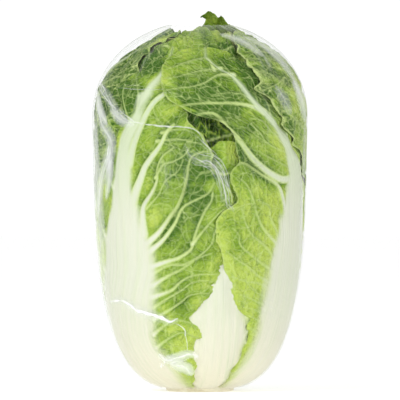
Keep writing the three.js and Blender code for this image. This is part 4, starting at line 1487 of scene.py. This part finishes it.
class Leaf:
    """A leaf laid on what is already in the head."""

    RIB_CELLS = 16
    BACK_STEP = 5
    FLAG = Flag()

    def __init__(self, plan: LeafPlan) -> None:
        """Turns the plan's rows into curves over arc length."""
        self.plan = plan
        self.edges = {Side.LOW: over_height(plan.low), Side.HIGH: over_height(plan.high)}
        self.middle = over_height(plan.midrib)
        self.rib = over_height(plan.rib)
        self.tone = over_height(plan.tone)
        self.rib_thickness = over_height(RIB_THICKNESS)
        self.start = float(ENVELOPE.arc_at(plan.rib[0][0]))
        self.end = float(ENVELOPE.arc_at(plan.tip))

    def edge(self, side: Side, arc: Any) -> np.ndarray:
        """Returns the angle of one edge, rounded off towards the tip and a little wavy."""
        past = np.clip((arc - (self.end - self.plan.round_off)) / self.plan.round_off, 0, 1)
        full = self.edges[side](arc) - self.middle(arc)
        radius = np.maximum(ENVELOPE.radius(arc), POLE)
        least = np.degrees(self.plan.blunt / radius)
        wiggle = swell(arc, 0 * arc + side.value * 50, 13, self.plan.seed) * 1.1
        wiggle = wiggle + swell(arc, 0 * arc + side.value * 90, 5, self.plan.seed + 9) * 0.4
        half = np.maximum(np.abs(full) * np.sqrt(1 - past**2), least)
        return self.middle(arc) + side.value * (half + np.degrees(wiggle / np.maximum(radius, 20)))

    def rib_side(self, side: Side, arc: Any) -> np.ndarray:
        """Returns the angle of one side of the midrib."""
        radius = np.maximum(ENVELOPE.radius(arc), POLE)
        return self.middle(arc) + side.value * np.degrees(self.rib(arc) / radius)

    def trace(self) -> Tracing:
        """Draws the leaf's veins: its own side veins and the branches that grow from them."""
        plan = self.plan
        arcs = np.linspace(self.start, self.end, 60)
        low, high = self.edge(Side.LOW, arcs).min() - 3, self.edge(Side.HIGH, arcs).max() + 3
        tracing = Tracing(low, high, self.start - 2, self.end + 2)
        rng = np.random.default_rng(plan.seed)
        lines = []
        for vein in (*plan.veins, *self._side_veins(rng)):
            line = self._vein_line(vein)
            share = np.linspace(0, 1, len(line))
            widths = blend(vein.start, vein.end, share**0.8) + 0.5 * vein.start * np.exp(-share * 7)
            widths = widths * blend(0.7, 1.0, smooth(widths, 0.7, 2.6))
            tracing.draw(line, widths, vein.fold)
            lines.append(line)
        if plan.slot == "outer_leaf":
            branches = tracing.grow(lines, "branch", 13.0, 36.0, rng)
            tracing.grow(branches, "twig", 8.0, 16.0, rng)
        return tracing

    @staticmethod
    def _vein_line(vein: Vein) -> np.ndarray:
        """Returns the (angle, arc) points of a vein, smoothed and led a little back into the rib."""
        table = np.array(vein.line, float)
        knots = np.arange(len(table))
        fine = np.linspace(0, len(table) - 1, 4 * len(table))
        angle, height = Curve(knots, table[:, 0])(fine), Curve(knots, table[:, 1])(fine)
        line = np.stack([angle, ENVELOPE.arc_at(height)], axis=1)
        first = line[2] - line[0]
        reach = math.hypot(math.radians(first[0]) * float(ENVELOPE.radius(line[0, 1])), first[1])
        return np.concatenate([line[:1] - first * min(3.0 / reach, 1.0), line])

    def _side_veins(self, rng: np.random.Generator) -> list[Vein]:
        """Plans side veins that rise from the rib to both edges, some of them forked."""
        veins = []
        long = self.end - self.start
        fork_at = 0.45
        for side in Side:
            for k in range(1, self.plan.vein_count + 1):
                share = k / (self.plan.vein_count + 1)
                start = self.start + long * (share - 0.06 * (1 - share))
                rise = long * 0.3 * share**0.6 * (1 - share) * rng.uniform(0.8, 1.2)
                for fork in (0.0, rng.uniform(0.4, 1.0)):
                    t = np.linspace(fork_at if fork else 0.0, 1.0, 7)
                    bend = np.maximum(t - fork_at, 0) * fork * 0.22 * long * (1 - share)
                    arc = start + rise * t**1.3 + bend + rng.normal(0, 0.8, 7) * t
                    arc = np.minimum(arc, self.end - 3)
                    angle = blend(self.rib_side(side, arc), self.edge(side, arc), t)
                    line = tuple(zip(angle.tolist(), ENVELOPE.height(arc).tolist()))
                    size = blend(1.7, 0.9, share) * (0.6 if fork else 1.0)
                    veins.append(Vein(line, size, 0.5, rng.uniform(-1.5, 1.5) * (0 if fork else 1)))
        return veins

    def _places(self) -> Places:
        """Spreads the leaf's grid from foot to tip and from edge to edge."""
        rows, across = self.plan.cells
        share = np.linspace(0, 1, rows + 1)[:, None]
        column = blend(self.start, self.end, share)
        blade = (across - self.RIB_CELLS) // 2
        t = np.linspace(0, 1, blade + 1)[1:][None, :] ** 0.95
        ribs = {side: self.rib_side(side, column) for side in Side}
        low = blend(ribs[Side.LOW], self.edge(Side.LOW, column), t[:, ::-1])
        high = blend(ribs[Side.HIGH], self.edge(Side.HIGH, column), t)
        rib = blend(ribs[Side.LOW], ribs[Side.HIGH], np.linspace(0, 1, self.RIB_CELLS + 1)[None, :])
        angle = np.concatenate([low, rib, high], axis=1)
        arc = column * np.ones_like(angle)
        outward = np.concatenate([t[:, ::-1], np.zeros((1, rib.shape[1])), t], axis=1) * np.ones_like(arc)
        sideways = np.radians(angle - self.middle(arc)) * ENVELOPE.radius(arc)
        past_rib = np.abs(sideways) - self.rib(arc)
        return Places(share, angle, arc, ENVELOPE.height(arc), outward, sideways, past_rib)

    def lay(self, room: Room) -> Surface:
        """Works out the leaf's faces under what is already laid, and takes the room for it.

        Args:
            room: what is laid so far.

        Returns:
            Both faces as one grid that closes on itself round the leaf's edge.
        """
        places = self._places()
        skin = Skin(self, places)
        outer, inner = self._depths(places, skin.rise(), room)
        room.take(places.angle.ravel(), places.arc.ravel(), inner.ravel())
        press = PRESS * smooth(places.outward, 0.86, 1.0) * (1 - smooth(places.height, 100, 175))
        front, back = (self._face(places, depth + press) for depth in (outer, inner))
        columns = front.shape[1]
        sparse = np.arange(columns - 1, -1, -self.BACK_STEP)
        sparse = sparse if sparse[-1] == 0 else np.append(sparse, 0)
        points = np.concatenate([front, back[:, sparse], front[:, :1]], axis=1)
        order = np.concatenate([np.arange(columns), sparse, [0]])
        numbers = {key: value[:, order] for key, value in skin.masks().items()}
        own = np.full_like(places.arc, self.plan.seed * 7.3)
        grain = np.stack([places.sideways, places.arc, own], axis=-1)
        return Surface(points, numbers, {"grain": grain[:, order]})

    def _depths(self, places: Places, rise: np.ndarray, room: Room) -> tuple[np.ndarray, np.ndarray]:
        """Works out how deep both faces lie.

        Args:
            places: where the points of the grid lie.
            rise: how far each of them stands out.
            room: what is laid so far.

        Returns:
            The depths of the outer and the inner face, which meet at the foot and at the tip.
        """
        height, past_rib = places.height, places.past_rib
        ribbed = np.clip(np.abs(places.sideways) / self.rib(places.arc), 0, 1)
        below = room.below(places.angle, places.arc)
        base = below + GAP + (HOLLOW.deeper(places.angle, places.arc) if self.plan.eye else 0)
        set_back = BLADE_SET * (0.35 + 0.65 * smooth(height, 60, 200))
        face = blend(RIB_CROWN * ribbed**2, set_back, smooth(past_rib, 0, RIB_SHOULDER))
        outer = np.maximum(base + face - rise, below + LEAST_GAP)
        closing = np.clip(np.minimum(places.share, 1 - places.share) * self.plan.cells[0] / 3, 0, 1)
        taper = -3 - 16 * (1 - smooth(height, 30, 130))
        rib_thick = self.rib_thickness(places.arc) * (1 - 0.25 * ribbed**4) - face
        thick = blend(rib_thick, BLADE, smooth(past_rib, taper, 4))
        shelter = outer
        for _ in range(self.BACK_STEP // 2 + 1):
            wide = np.pad(shelter, ((0, 0), (1, 1)), mode="edge")
            shelter = np.maximum.reduce([shelter, wide[:, 2:], wide[:, :-2]])
        rim = smooth(places.outward, 0.93, 1.0)
        inner = blend(outer, blend(shelter, outer, rim) + np.maximum(thick, BLADE), closing)
        return outer, inner

    def _face(self, places: Places, depth: np.ndarray) -> np.ndarray:
        """Returns the points of a face at a depth, with the tip lifted where the leaf has a flag."""
        points = ENVELOPE.place(places.angle, places.arc, depth)
        if not self.plan.flag:
            return points
        return self.FLAG.lift(points, smooth(places.arc, self.end - self.FLAG.start, self.end))


# ---- The other pieces ----


@dataclass
class Heart:
    """The tight inner leaves, whose edges show as steps that wind up to the crown."""

    start: float = 34.0
    laps: int = 5
    lap_rise: float = 2.4
    lap_pitch: float = 150.0
    cell: float = 6.0
    clearance: float = 1.2
    fold_depth: float = 7.0
    pole_radius: float = 16.0
    pole_depth: float = 24.0
    cells: tuple[int, int] = (150, 200)

    def build(self, room: Room, material: bpy.types.Material) -> bpy.types.Object:
        """Makes the heart under all that is laid.

        Args:
            room: what is laid so far.
            material: its finish.

        Returns:
            The piece.
        """
        rows, around = self.cells
        first = float(ENVELOPE.arc_at(self.start))
        arc = np.linspace(first, ENVELOPE.length - 1.0, rows + 1)[:, None] * np.ones((1, around + 1))
        angle = np.linspace(0, 360, around + 1)[None, :] * np.ones((rows + 1, 1))
        lap = (self.laps * angle / 360 + arc / self.lap_pitch) % 1
        x, y, z = np.moveaxis(ENVELOPE.place(angle, arc, 2.0), -1, 0)
        edge = cell_edge(x / self.cell, y / self.cell, 5) * self.cell
        folds = 1 - 2.2 * np.abs(swell(x, y, 15, 6))
        crinkle = smooth(edge, 0.2, 2.4) * 1.2 + 1.2 * swell(x, y, 9, 8)
        pole = smooth(-ENVELOPE.radius(arc), -2.2 * self.pole_radius, -self.pole_radius)
        depth = room.below(angle, arc) + self.clearance + HOLLOW.deeper(angle, arc)
        depth = depth + self.lap_rise * lap + np.maximum(crinkle, -0.6)
        depth = blend(depth, self.pole_depth + crinkle - self.fold_depth * folds, pole)
        points = ENVELOPE.place(angle, arc, depth)
        for ring, above in ((0, 0.0), (-1, 1.0)):
            points[ring] = (0, 0, points[ring, :, 2].mean() + above)
        net = 1 - smooth(edge, 0.2, 0.9)
        numbers = {
            "rib": 0 * net,
            "crumple": 0.8 + 0 * net,
            "vein": 0.6 * (1 - smooth(lap, 0.0, 0.05)),
            "net": net,
            # Painted shade: darker in the middle of each sunk cell, and painted light on the folds that
            # rise at the crown.
            "tone": 0.3 + 0.25 * smooth(edge, 0.3, 2.5) - 0.25 * folds * pole,
        }
        grain = np.stack([x, y, z], axis=-1)
        return Surface(points, numbers, {"grain": grain}).piece("tight_heart", "heart", "heart", material)


@dataclass
class Butt:
    """The trimmed stem: a flat cut with a soft rim, and the core that rises from it.

    Attributes:
        profile: (radius, height) points from the middle of the cut to the top of the core.
        steps: how many faces go round.
    """

    profile: Points = (
        (0, 0), (25.6, 0), (26.9, 0.8), (27.5, 4), (26, 14), (19.6, 26), (10.8, 36.8), (0, 36.8),
    )
    steps: int = 96

    def build(self, material: bpy.types.Material) -> bpy.types.Object:
        """Spins the profile round and makes it the piece.

        Args:
            material: its finish.

        Returns:
            The piece.
        """
        bm = bmesh.new()
        line = [bm.verts.new((r * MM, 0, z * MM)) for r, z in self.profile]
        edges = [bm.edges.new(pair) for pair in zip(line, line[1:])]
        turn = {"cent": (0, 0, 0), "axis": (0, 0, 1), "angle": 2 * math.pi}
        bmesh.ops.spin(bm, geom=line + edges, steps=self.steps, use_merge=True, **turn)
        bmesh.ops.scale(bm, vec=(1, DEPTH_OVER_WIDTH, 1), verts=bm.verts)
        bmesh.ops.remove_doubles(bm, verts=bm.verts, dist=MERGE)
        bmesh.ops.recalc_face_normals(bm, faces=bm.faces)
        mesh = bpy.data.meshes.new("trimmed_butt")
        bm.to_mesh(mesh)
        bm.free()
        return enter(mesh, "butt", material)


@dataclass(frozen=True)
class Crease:
    """A bundle of folds in the film.

    Attributes:
        line: (x, height) points of the bundle, on the front half of the head.
        width: the main fold's width.
        height: how far the folds stand out.
        strands: how many folds there are, the others shorter and narrower.
        spread: how far the others lie from the main one.
        white: how white the folds are.
        haze: how white the film is round them.
        veil: how wide that haze is.
    """

    line: Points
    width: float = 1.6
    height: float = 0.5
    strands: int = 1
    spread: float = 0.0
    white: float = 0.8
    haze: float = 0.0
    veil: float = 12.0

    WIDEST = 0.99
    SHORTEST = 0.12
    STEP = 1.2
    VEIL_ROWS = 40
    VEIL_HEIGHT = 0.1

    def add(self, bm: bmesh.types.BMesh, rng: np.random.Generator) -> None:
        """Adds the folds, then the haze, to the film's mesh.

        Args:
            bm: the film's mesh.
            rng: the random source.
        """
        table = np.array(self.line, float)
        steps = np.concatenate([[0], np.cumsum(np.hypot(*np.diff(table, axis=0).T))])
        arcs = ENVELOPE.arc_at(table[:, 1])
        sines = np.clip(table[:, 0] / ENVELOPE.radius(arcs), -self.WIDEST, self.WIDEST)
        arc_along, turn_along = Curve(steps, arcs), Curve(steps, np.degrees(np.arcsin(sines)))
        for strand in range(self.strands):
            part = (0.0, 1.0) if strand == 0 else np.sort(rng.uniform(0, 1, 2))
            if part[1] - part[0] < self.SHORTEST:
                part = (part[0], part[0] + self.SHORTEST)
            long = (part[1] - part[0]) * steps[-1]
            along = np.linspace(part[0], part[1], max(int(long / self.STEP), 8))[:, None] * steps[-1]
            off = rng.uniform(-1, 1, 2) * self.spread * (strand > 0)
            seed = int(rng.integers(1000))
            arc = arc_along(along) + off[1] + 0.5 * swell(along, 0 * along, 10, seed + 1)
            aside = off[0] + 0.5 * swell(along, 0 * along, 12, seed)
            angle = turn_along(along) + np.degrees(aside / ENVELOPE.radius(arc))
            width = self.width * (1 if strand == 0 else rng.uniform(0.4, 0.8))
            add_fold(bm, angle, arc, width, self.height, self.white * rng.uniform(0.6, 1.0))
        if self.haze:
            along = np.linspace(0, 1, self.VEIL_ROWS)[:, None] * steps[-1]
            add_fold(bm, turn_along(along), arc_along(along), self.veil, self.VEIL_HEIGHT, self.haze)


def add_fold(
    bm: bmesh.types.BMesh, angle: np.ndarray, arc: np.ndarray, width: float, height: float, white: float
) -> None:
    """Adds one fold to the film, a narrow tent that thins out to both ends.

    Args:
        bm: the film's mesh.
        angle: degrees round the head of the places along the fold, as a column.
        arc: their arc lengths.
        width: its width.
        height: how far it stands out.
        white: how white its crest is.
    """
    rows, columns = len(angle), 7
    foot, depth, lift = 3.0, 0.2, 0.35
    taper = np.sqrt(np.sin(math.pi * np.linspace(0.02, 0.98, rows)))[:, None]
    uneven = height / 2
    taper = taper * (1 - uneven + uneven * swell(np.arange(rows)[:, None] * 1.2, 0 * angle, 6, rows))
    across = np.linspace(-1, 1, columns)[None, :]
    arc = np.clip(arc, foot, ENVELOPE.length - Film.top_radius - 3)
    radius = ENVELOPE.radius(arc)
    around, up = np.radians(np.gradient(angle, axis=0)) * radius, np.gradient(arc, axis=0)
    size = np.maximum(np.hypot(around, up), 1e-6)
    side = across * width / 2 * taper
    angle = angle - np.degrees(up / size * side / radius)
    arc = arc + around / size * side
    crest = (1 - np.abs(across)) * taper
    points = ENVELOPE.place(angle, arc, depth - lift * height * crest) * MM
    layer = bm.verts.layers.float["crease"]
    grid = bmesh.ops.create_grid(bm, x_segments=columns - 1, y_segments=rows - 1, size=1)
    for vertex in grid["verts"]:
        i, j = grid_place(vertex, rows, columns)
        vertex.co = points[i, j]
        vertex[layer] = crest[i, j] ** 0.5 * white


CREASES = (
    Crease(((-69.6, 229), (-56, 219), (-52, 216), (-39, 213.5), (-21, 212), (-6, 211), (-1, 207), (6, 196)),
           2.0, 0.5, 1, 0, 0.7),
    Crease(((-66, 243), (-50, 242), (-28, 242)), 1.0, 0.3, 3, 5, 0.35),
    Crease(((-82, 230), (-78, 213), (-73, 206), (-71, 198), (-73, 187), (-77, 176), (-80, 160), (-82, 140)),
           2.4, 0.5, 7, 4, 0.7, 0.35, 18),
    Crease(((-72, 72), (-63, 73.6), (-51, 66.4), (-39, 62.4), (-29.6, 59.2), (-24, 57), (-17.6, 59.2)),
           4.2, 0.5, 3, 1.0, 1.0, 0.2),
    Crease(((-20.8, 56.4), (-12.8, 52), (-11.2, 46.4), (-9.6, 33.6)), 1.6, 0.5, 2, 2, 0.6),
    Crease(((-33, 31), (-27, 26.5), (-17.6, 28), (-8.8, 31.2), (-1, 28.8)), 3.0, 0.5, 5, 4, 0.8, 0.5),
    Crease(((-30, 24), (-31, 20)), 3.5, 0.5, 3, 3, 0.9),
    Crease(((-12, 198), (-8, 190), (-1, 186), (8, 184), (14, 178), (17.4, 170), (19.2, 162),
            (21, 152), (27, 146)),
           1.1, 0.4, 18, 6, 0.6, 0.07),
    Crease(((-4, 206), (2, 200), (8, 194), (10, 186)), 1.0, 0.4, 7, 5, 0.5),
    Crease(((34, 284), (52, 276), (70, 258), (80, 236)), 1.0, 0.4, 14, 9, 0.6, 0.3, 20),
    Crease(((16, 286), (34, 280), (50, 268)), 1.0, 0.3, 5, 5, 0.5, 0.35, 16),
    Crease(((60, 244), (67, 234), (73, 222)), 1.0, 0.3, 6, 6, 0.4, 0.22, 16),
    Crease(((74, 248), (81, 234), (84, 216)), 1.2, 0.3, 7, 6, 0.4, 0.42, 24),
    Crease(((-82, 240), (-80, 226), (-74, 214)), 1.2, 0.3, 5, 4, 0.5, 0.5, 14),
    Crease(((-73, 196), (-72, 176), (-75, 154)), 1.4, 0.3, 3, 3, 0.5, 0.45, 14),
    Crease(((-72, 226), (-62, 217), (-52, 214)), 1.4, 0.3, 3, 3, 0.5, 0.35, 12),
    Crease(((-24, 23), (-12, 20), (-6, 14)), 2.0, 0.3, 3, 3, 0.6, 0.6, 16),
    Crease(((-66, 268), (-50, 279), (-34, 285)), 1.0, 0.4, 7, 6, 0.5),
    Crease(((46, 76), (68, 58)), 0.8, 0.3, 12, 14, 0.3),
    Crease(((84, 220), (83, 180), (81, 140), (79, 100)), 1.4, 0.4, 7, 3, 0.5, 0.1),
    Crease(((-84, 214), (-83, 180), (-81, 140), (-76, 80)), 1.6, 0.4, 10, 6, 0.6, 0.3, 30),
    Crease(((-81, 248), (-74, 236), (-66, 224), (-58, 217)), 1.4, 0.4, 12, 5, 0.6, 0.2),
)


@dataclass
class Film:
    """The stretch-film sleeve, open round the butt and cut back at the top round the standing leaf tip."""

    bottom_radius: float = 31.0
    top_radius: float = 25.0
    tip_radius: float = 58.0
    tip_angle: float = 170.0
    depth: float = 0.3
    deepest: float = 0.62
    pleats: float = 0.35
    glare_angle: float = -80.0
    glare_width: float = 20.0
    cells: tuple[int, int] = (190, 240)

    def build(self, material: bpy.types.Material) -> bpy.types.Object:
        """Args:
            material: its finish.

        Returns:
            The piece.
        """
        rows, around = self.cells
        angle = np.linspace(0, 360, around + 1)[None, :] * np.ones((rows + 1, 1))
        notch = 1 - smooth(np.abs(turned(angle, self.tip_angle)), 25, 75)
        below = ENVELOPE.z < WAIST
        first = float(np.interp(self.bottom_radius, ENVELOPE.r[below], ENVELOPE.arc[below]))
        last = ENVELOPE.arc_at_radius(blend(self.top_radius, self.tip_radius, notch))
        arc = blend(first, last, np.linspace(0, 1, rows + 1)[:, None])
        girth = np.radians(angle) * WIDTH / 2
        crown = ENVELOPE.rise(arc, 225, 288)
        foot = 1 - ENVELOPE.rise(arc, 4, 40)
        wrinkle = swell(girth, 0 * girth, 9, 91) * (crown + foot) + 0.6 * swell(girth, arc * 0.12, 14, 92)
        depth = self.depth - self.pleats * wrinkle * np.interp(arc, [first, first + 8], [0, 1])
        points = ENVELOPE.place(angle, arc, np.clip(depth, 0.0, self.deepest))
        points[:, -1] = points[:, 0]
        # Painted reflection: a band of milky white down the left side stands in for the lamp's glare on the
        # film; it is added to the cloud.
        glare = np.exp(-((turned(angle, self.glare_angle) / self.glare_width) ** 2))
        glare = glare * smooth(arc, 60.0, 130.0) * (1 - ENVELOPE.rise(arc, 205, 250))
        cloud_and_glare = np.clip(0.55 * crown + 0.3 * foot + 0.35 * swell(girth, arc, 80, 93), 0, 1) + glare
        grain = np.stack([girth, arc, 0 * arc], axis=-1)
        surface = Surface(points, {"crease": 0 * arc, "cloud_and_glare": cloud_and_glare}, {"grain": grain})
        piece = surface.piece("film_sleeve", "film", "film", material)
        self._add_creases(piece)
        return piece

    @staticmethod
    def _add_creases(piece: bpy.types.Object) -> None:
        """Adds each crease to the film as low tent-shaped folds that stand on it."""
        rng = np.random.default_rng(77)
        bm = bmesh.new()
        bm.from_mesh(piece.data)
        for crease in CREASES:
            crease.add(bm, rng)
        bm.to_mesh(piece.data)
        bm.free()
        piece.data.shade_smooth()


# ---- The studio ----


@dataclass(frozen=True)
class Lamp:
    """A square soft light that faces the head, with its place and size in metres and its power in watts."""

    name: str
    place: Triple
    size: float
    power: float
    aim: Triple = (0, 0, 0.15)

    def build(self) -> None:
        """Makes the light."""
        light = bpy.data.lights.new(self.name, "AREA")
        light.size = self.size
        light.energy = self.power
        lamp = bpy.data.objects.new(self.name, light)
        lamp.location = self.place
        lamp.rotation_euler = (Vector(self.aim) - Vector(self.place)).to_track_quat("-Z", "Y").to_euler()
        bpy.context.scene.collection.objects.link(lamp)


@dataclass
class Studio:
    """A pale floor, soft light and the camera."""

    frame_width: float = 320.0
    aim_height: float = 152.8
    distance: float = 9000.0
    elevation: float = 1.0
    sensor: float = 36.0
    clip_end: float = 50.0
    floor_size: float = 6.0
    floor_glow: float = 0.38
    room_light: float = 0.68
    room_seen: float = 1.06
    lamps: tuple[Lamp, ...] = (
        Lamp("key", (-1.3, -1.5, 1.2), 0.7, 16),
        Lamp("fill", (1.4, -1.4, 0.7), 1.0, 5),
        Lamp("low", (0.1, -2.0, 0.06), 0.8, 11),
    )

    def build(self) -> None:
        """Makes the camera, the floor, the world and the lights."""
        self._camera()
        self._floor()
        self._world()
        for lamp in self.lamps:
            lamp.build()
        bpy.context.scene.view_settings.view_transform = "Standard"

    def _camera(self) -> None:
        """Makes the camera, far off in front with a long lens."""
        scene = bpy.context.scene
        camera = bpy.data.cameras.new("camera")
        camera.sensor_width = self.sensor
        camera.lens = self.sensor * self.distance / self.frame_width
        camera.clip_end = self.clip_end
        seat = bpy.data.objects.new("camera", camera)
        tilt = math.radians(self.elevation)
        aim = Vector((0, 0, self.aim_height * MM))
        away = Vector((0, -math.cos(tilt), math.sin(tilt))) * self.distance * MM
        seat.location = aim + away
        seat.rotation_euler = (math.radians(90 - self.elevation), 0, 0)
        scene.collection.objects.link(seat)
        scene.camera = seat

    def _floor(self) -> None:
        """Makes the floor."""
        bm = bmesh.new()
        bmesh.ops.create_grid(bm, x_segments=1, y_segments=1, size=self.floor_size)
        mesh = bpy.data.meshes.new("floor")
        bm.to_mesh(mesh)
        bm.free()
        n = Nodes("floor_paint")
        glow = {"Emission_Color": WHITE, "Emission_Strength": self.floor_glow}
        paint = n.principled(Base_Color=(0.9, 0.9, 0.9), Roughness=0.9, **glow)
        mesh.materials.append(n.surface(paint))
        floor = bpy.data.objects.new("floor", mesh)
        bpy.context.scene.collection.objects.link(floor)

    def _world(self) -> None:
        """Makes the even white surroundings, which look brighter than they light."""
        world = bpy.data.worlds.new("studio")
        world.use_nodes = True
        background = world.node_tree.nodes["Background"]
        background.inputs["Color"].default_value = (*WHITE, 1)
        tree = world.node_tree
        seen = tree.nodes.new("ShaderNodeLightPath")
        strength = tree.nodes.new("ShaderNodeMapRange")
        strength.inputs["To Min"].default_value = self.room_light
        strength.inputs["To Max"].default_value = self.room_seen
        tree.links.new(seen.outputs["Is Camera Ray"], strength.inputs["Value"])
        tree.links.new(strength.outputs[0], background.inputs["Strength"])
        bpy.context.scene.world = world


def main() -> None:
    """Builds every piece and the studio."""
    logging.basicConfig(level=logging.INFO, format="%(name)s: %(message)s")
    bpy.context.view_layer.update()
    finishes = {
        "outer_leaf": LeafFinish("wrapper_leaf").make(),
        "inner_leaf": LeafFinish("inner_leaf", light=(0.55, 0.66, 0.13), middle=(0.36, 0.52, 0.055)).make(),
        "heart": LeafFinish("heart_leaf", light=(0.62, 0.68, 0.18), middle=(0.40, 0.52, 0.07)).make(),
    }
    Butt().build(ButtFinish().make())
    room = Room()
    for plan in LEAVES:
        surface = Leaf(plan).lay(room)
        surface.piece(plan.node.replace("leaf", "blade"), plan.node, plan.slot, finishes[plan.slot])
    Heart().build(room, finishes["heart"])
    Film().build(FilmFinish().make())
    Studio().build()


if __name__ == "__main__":
    main()
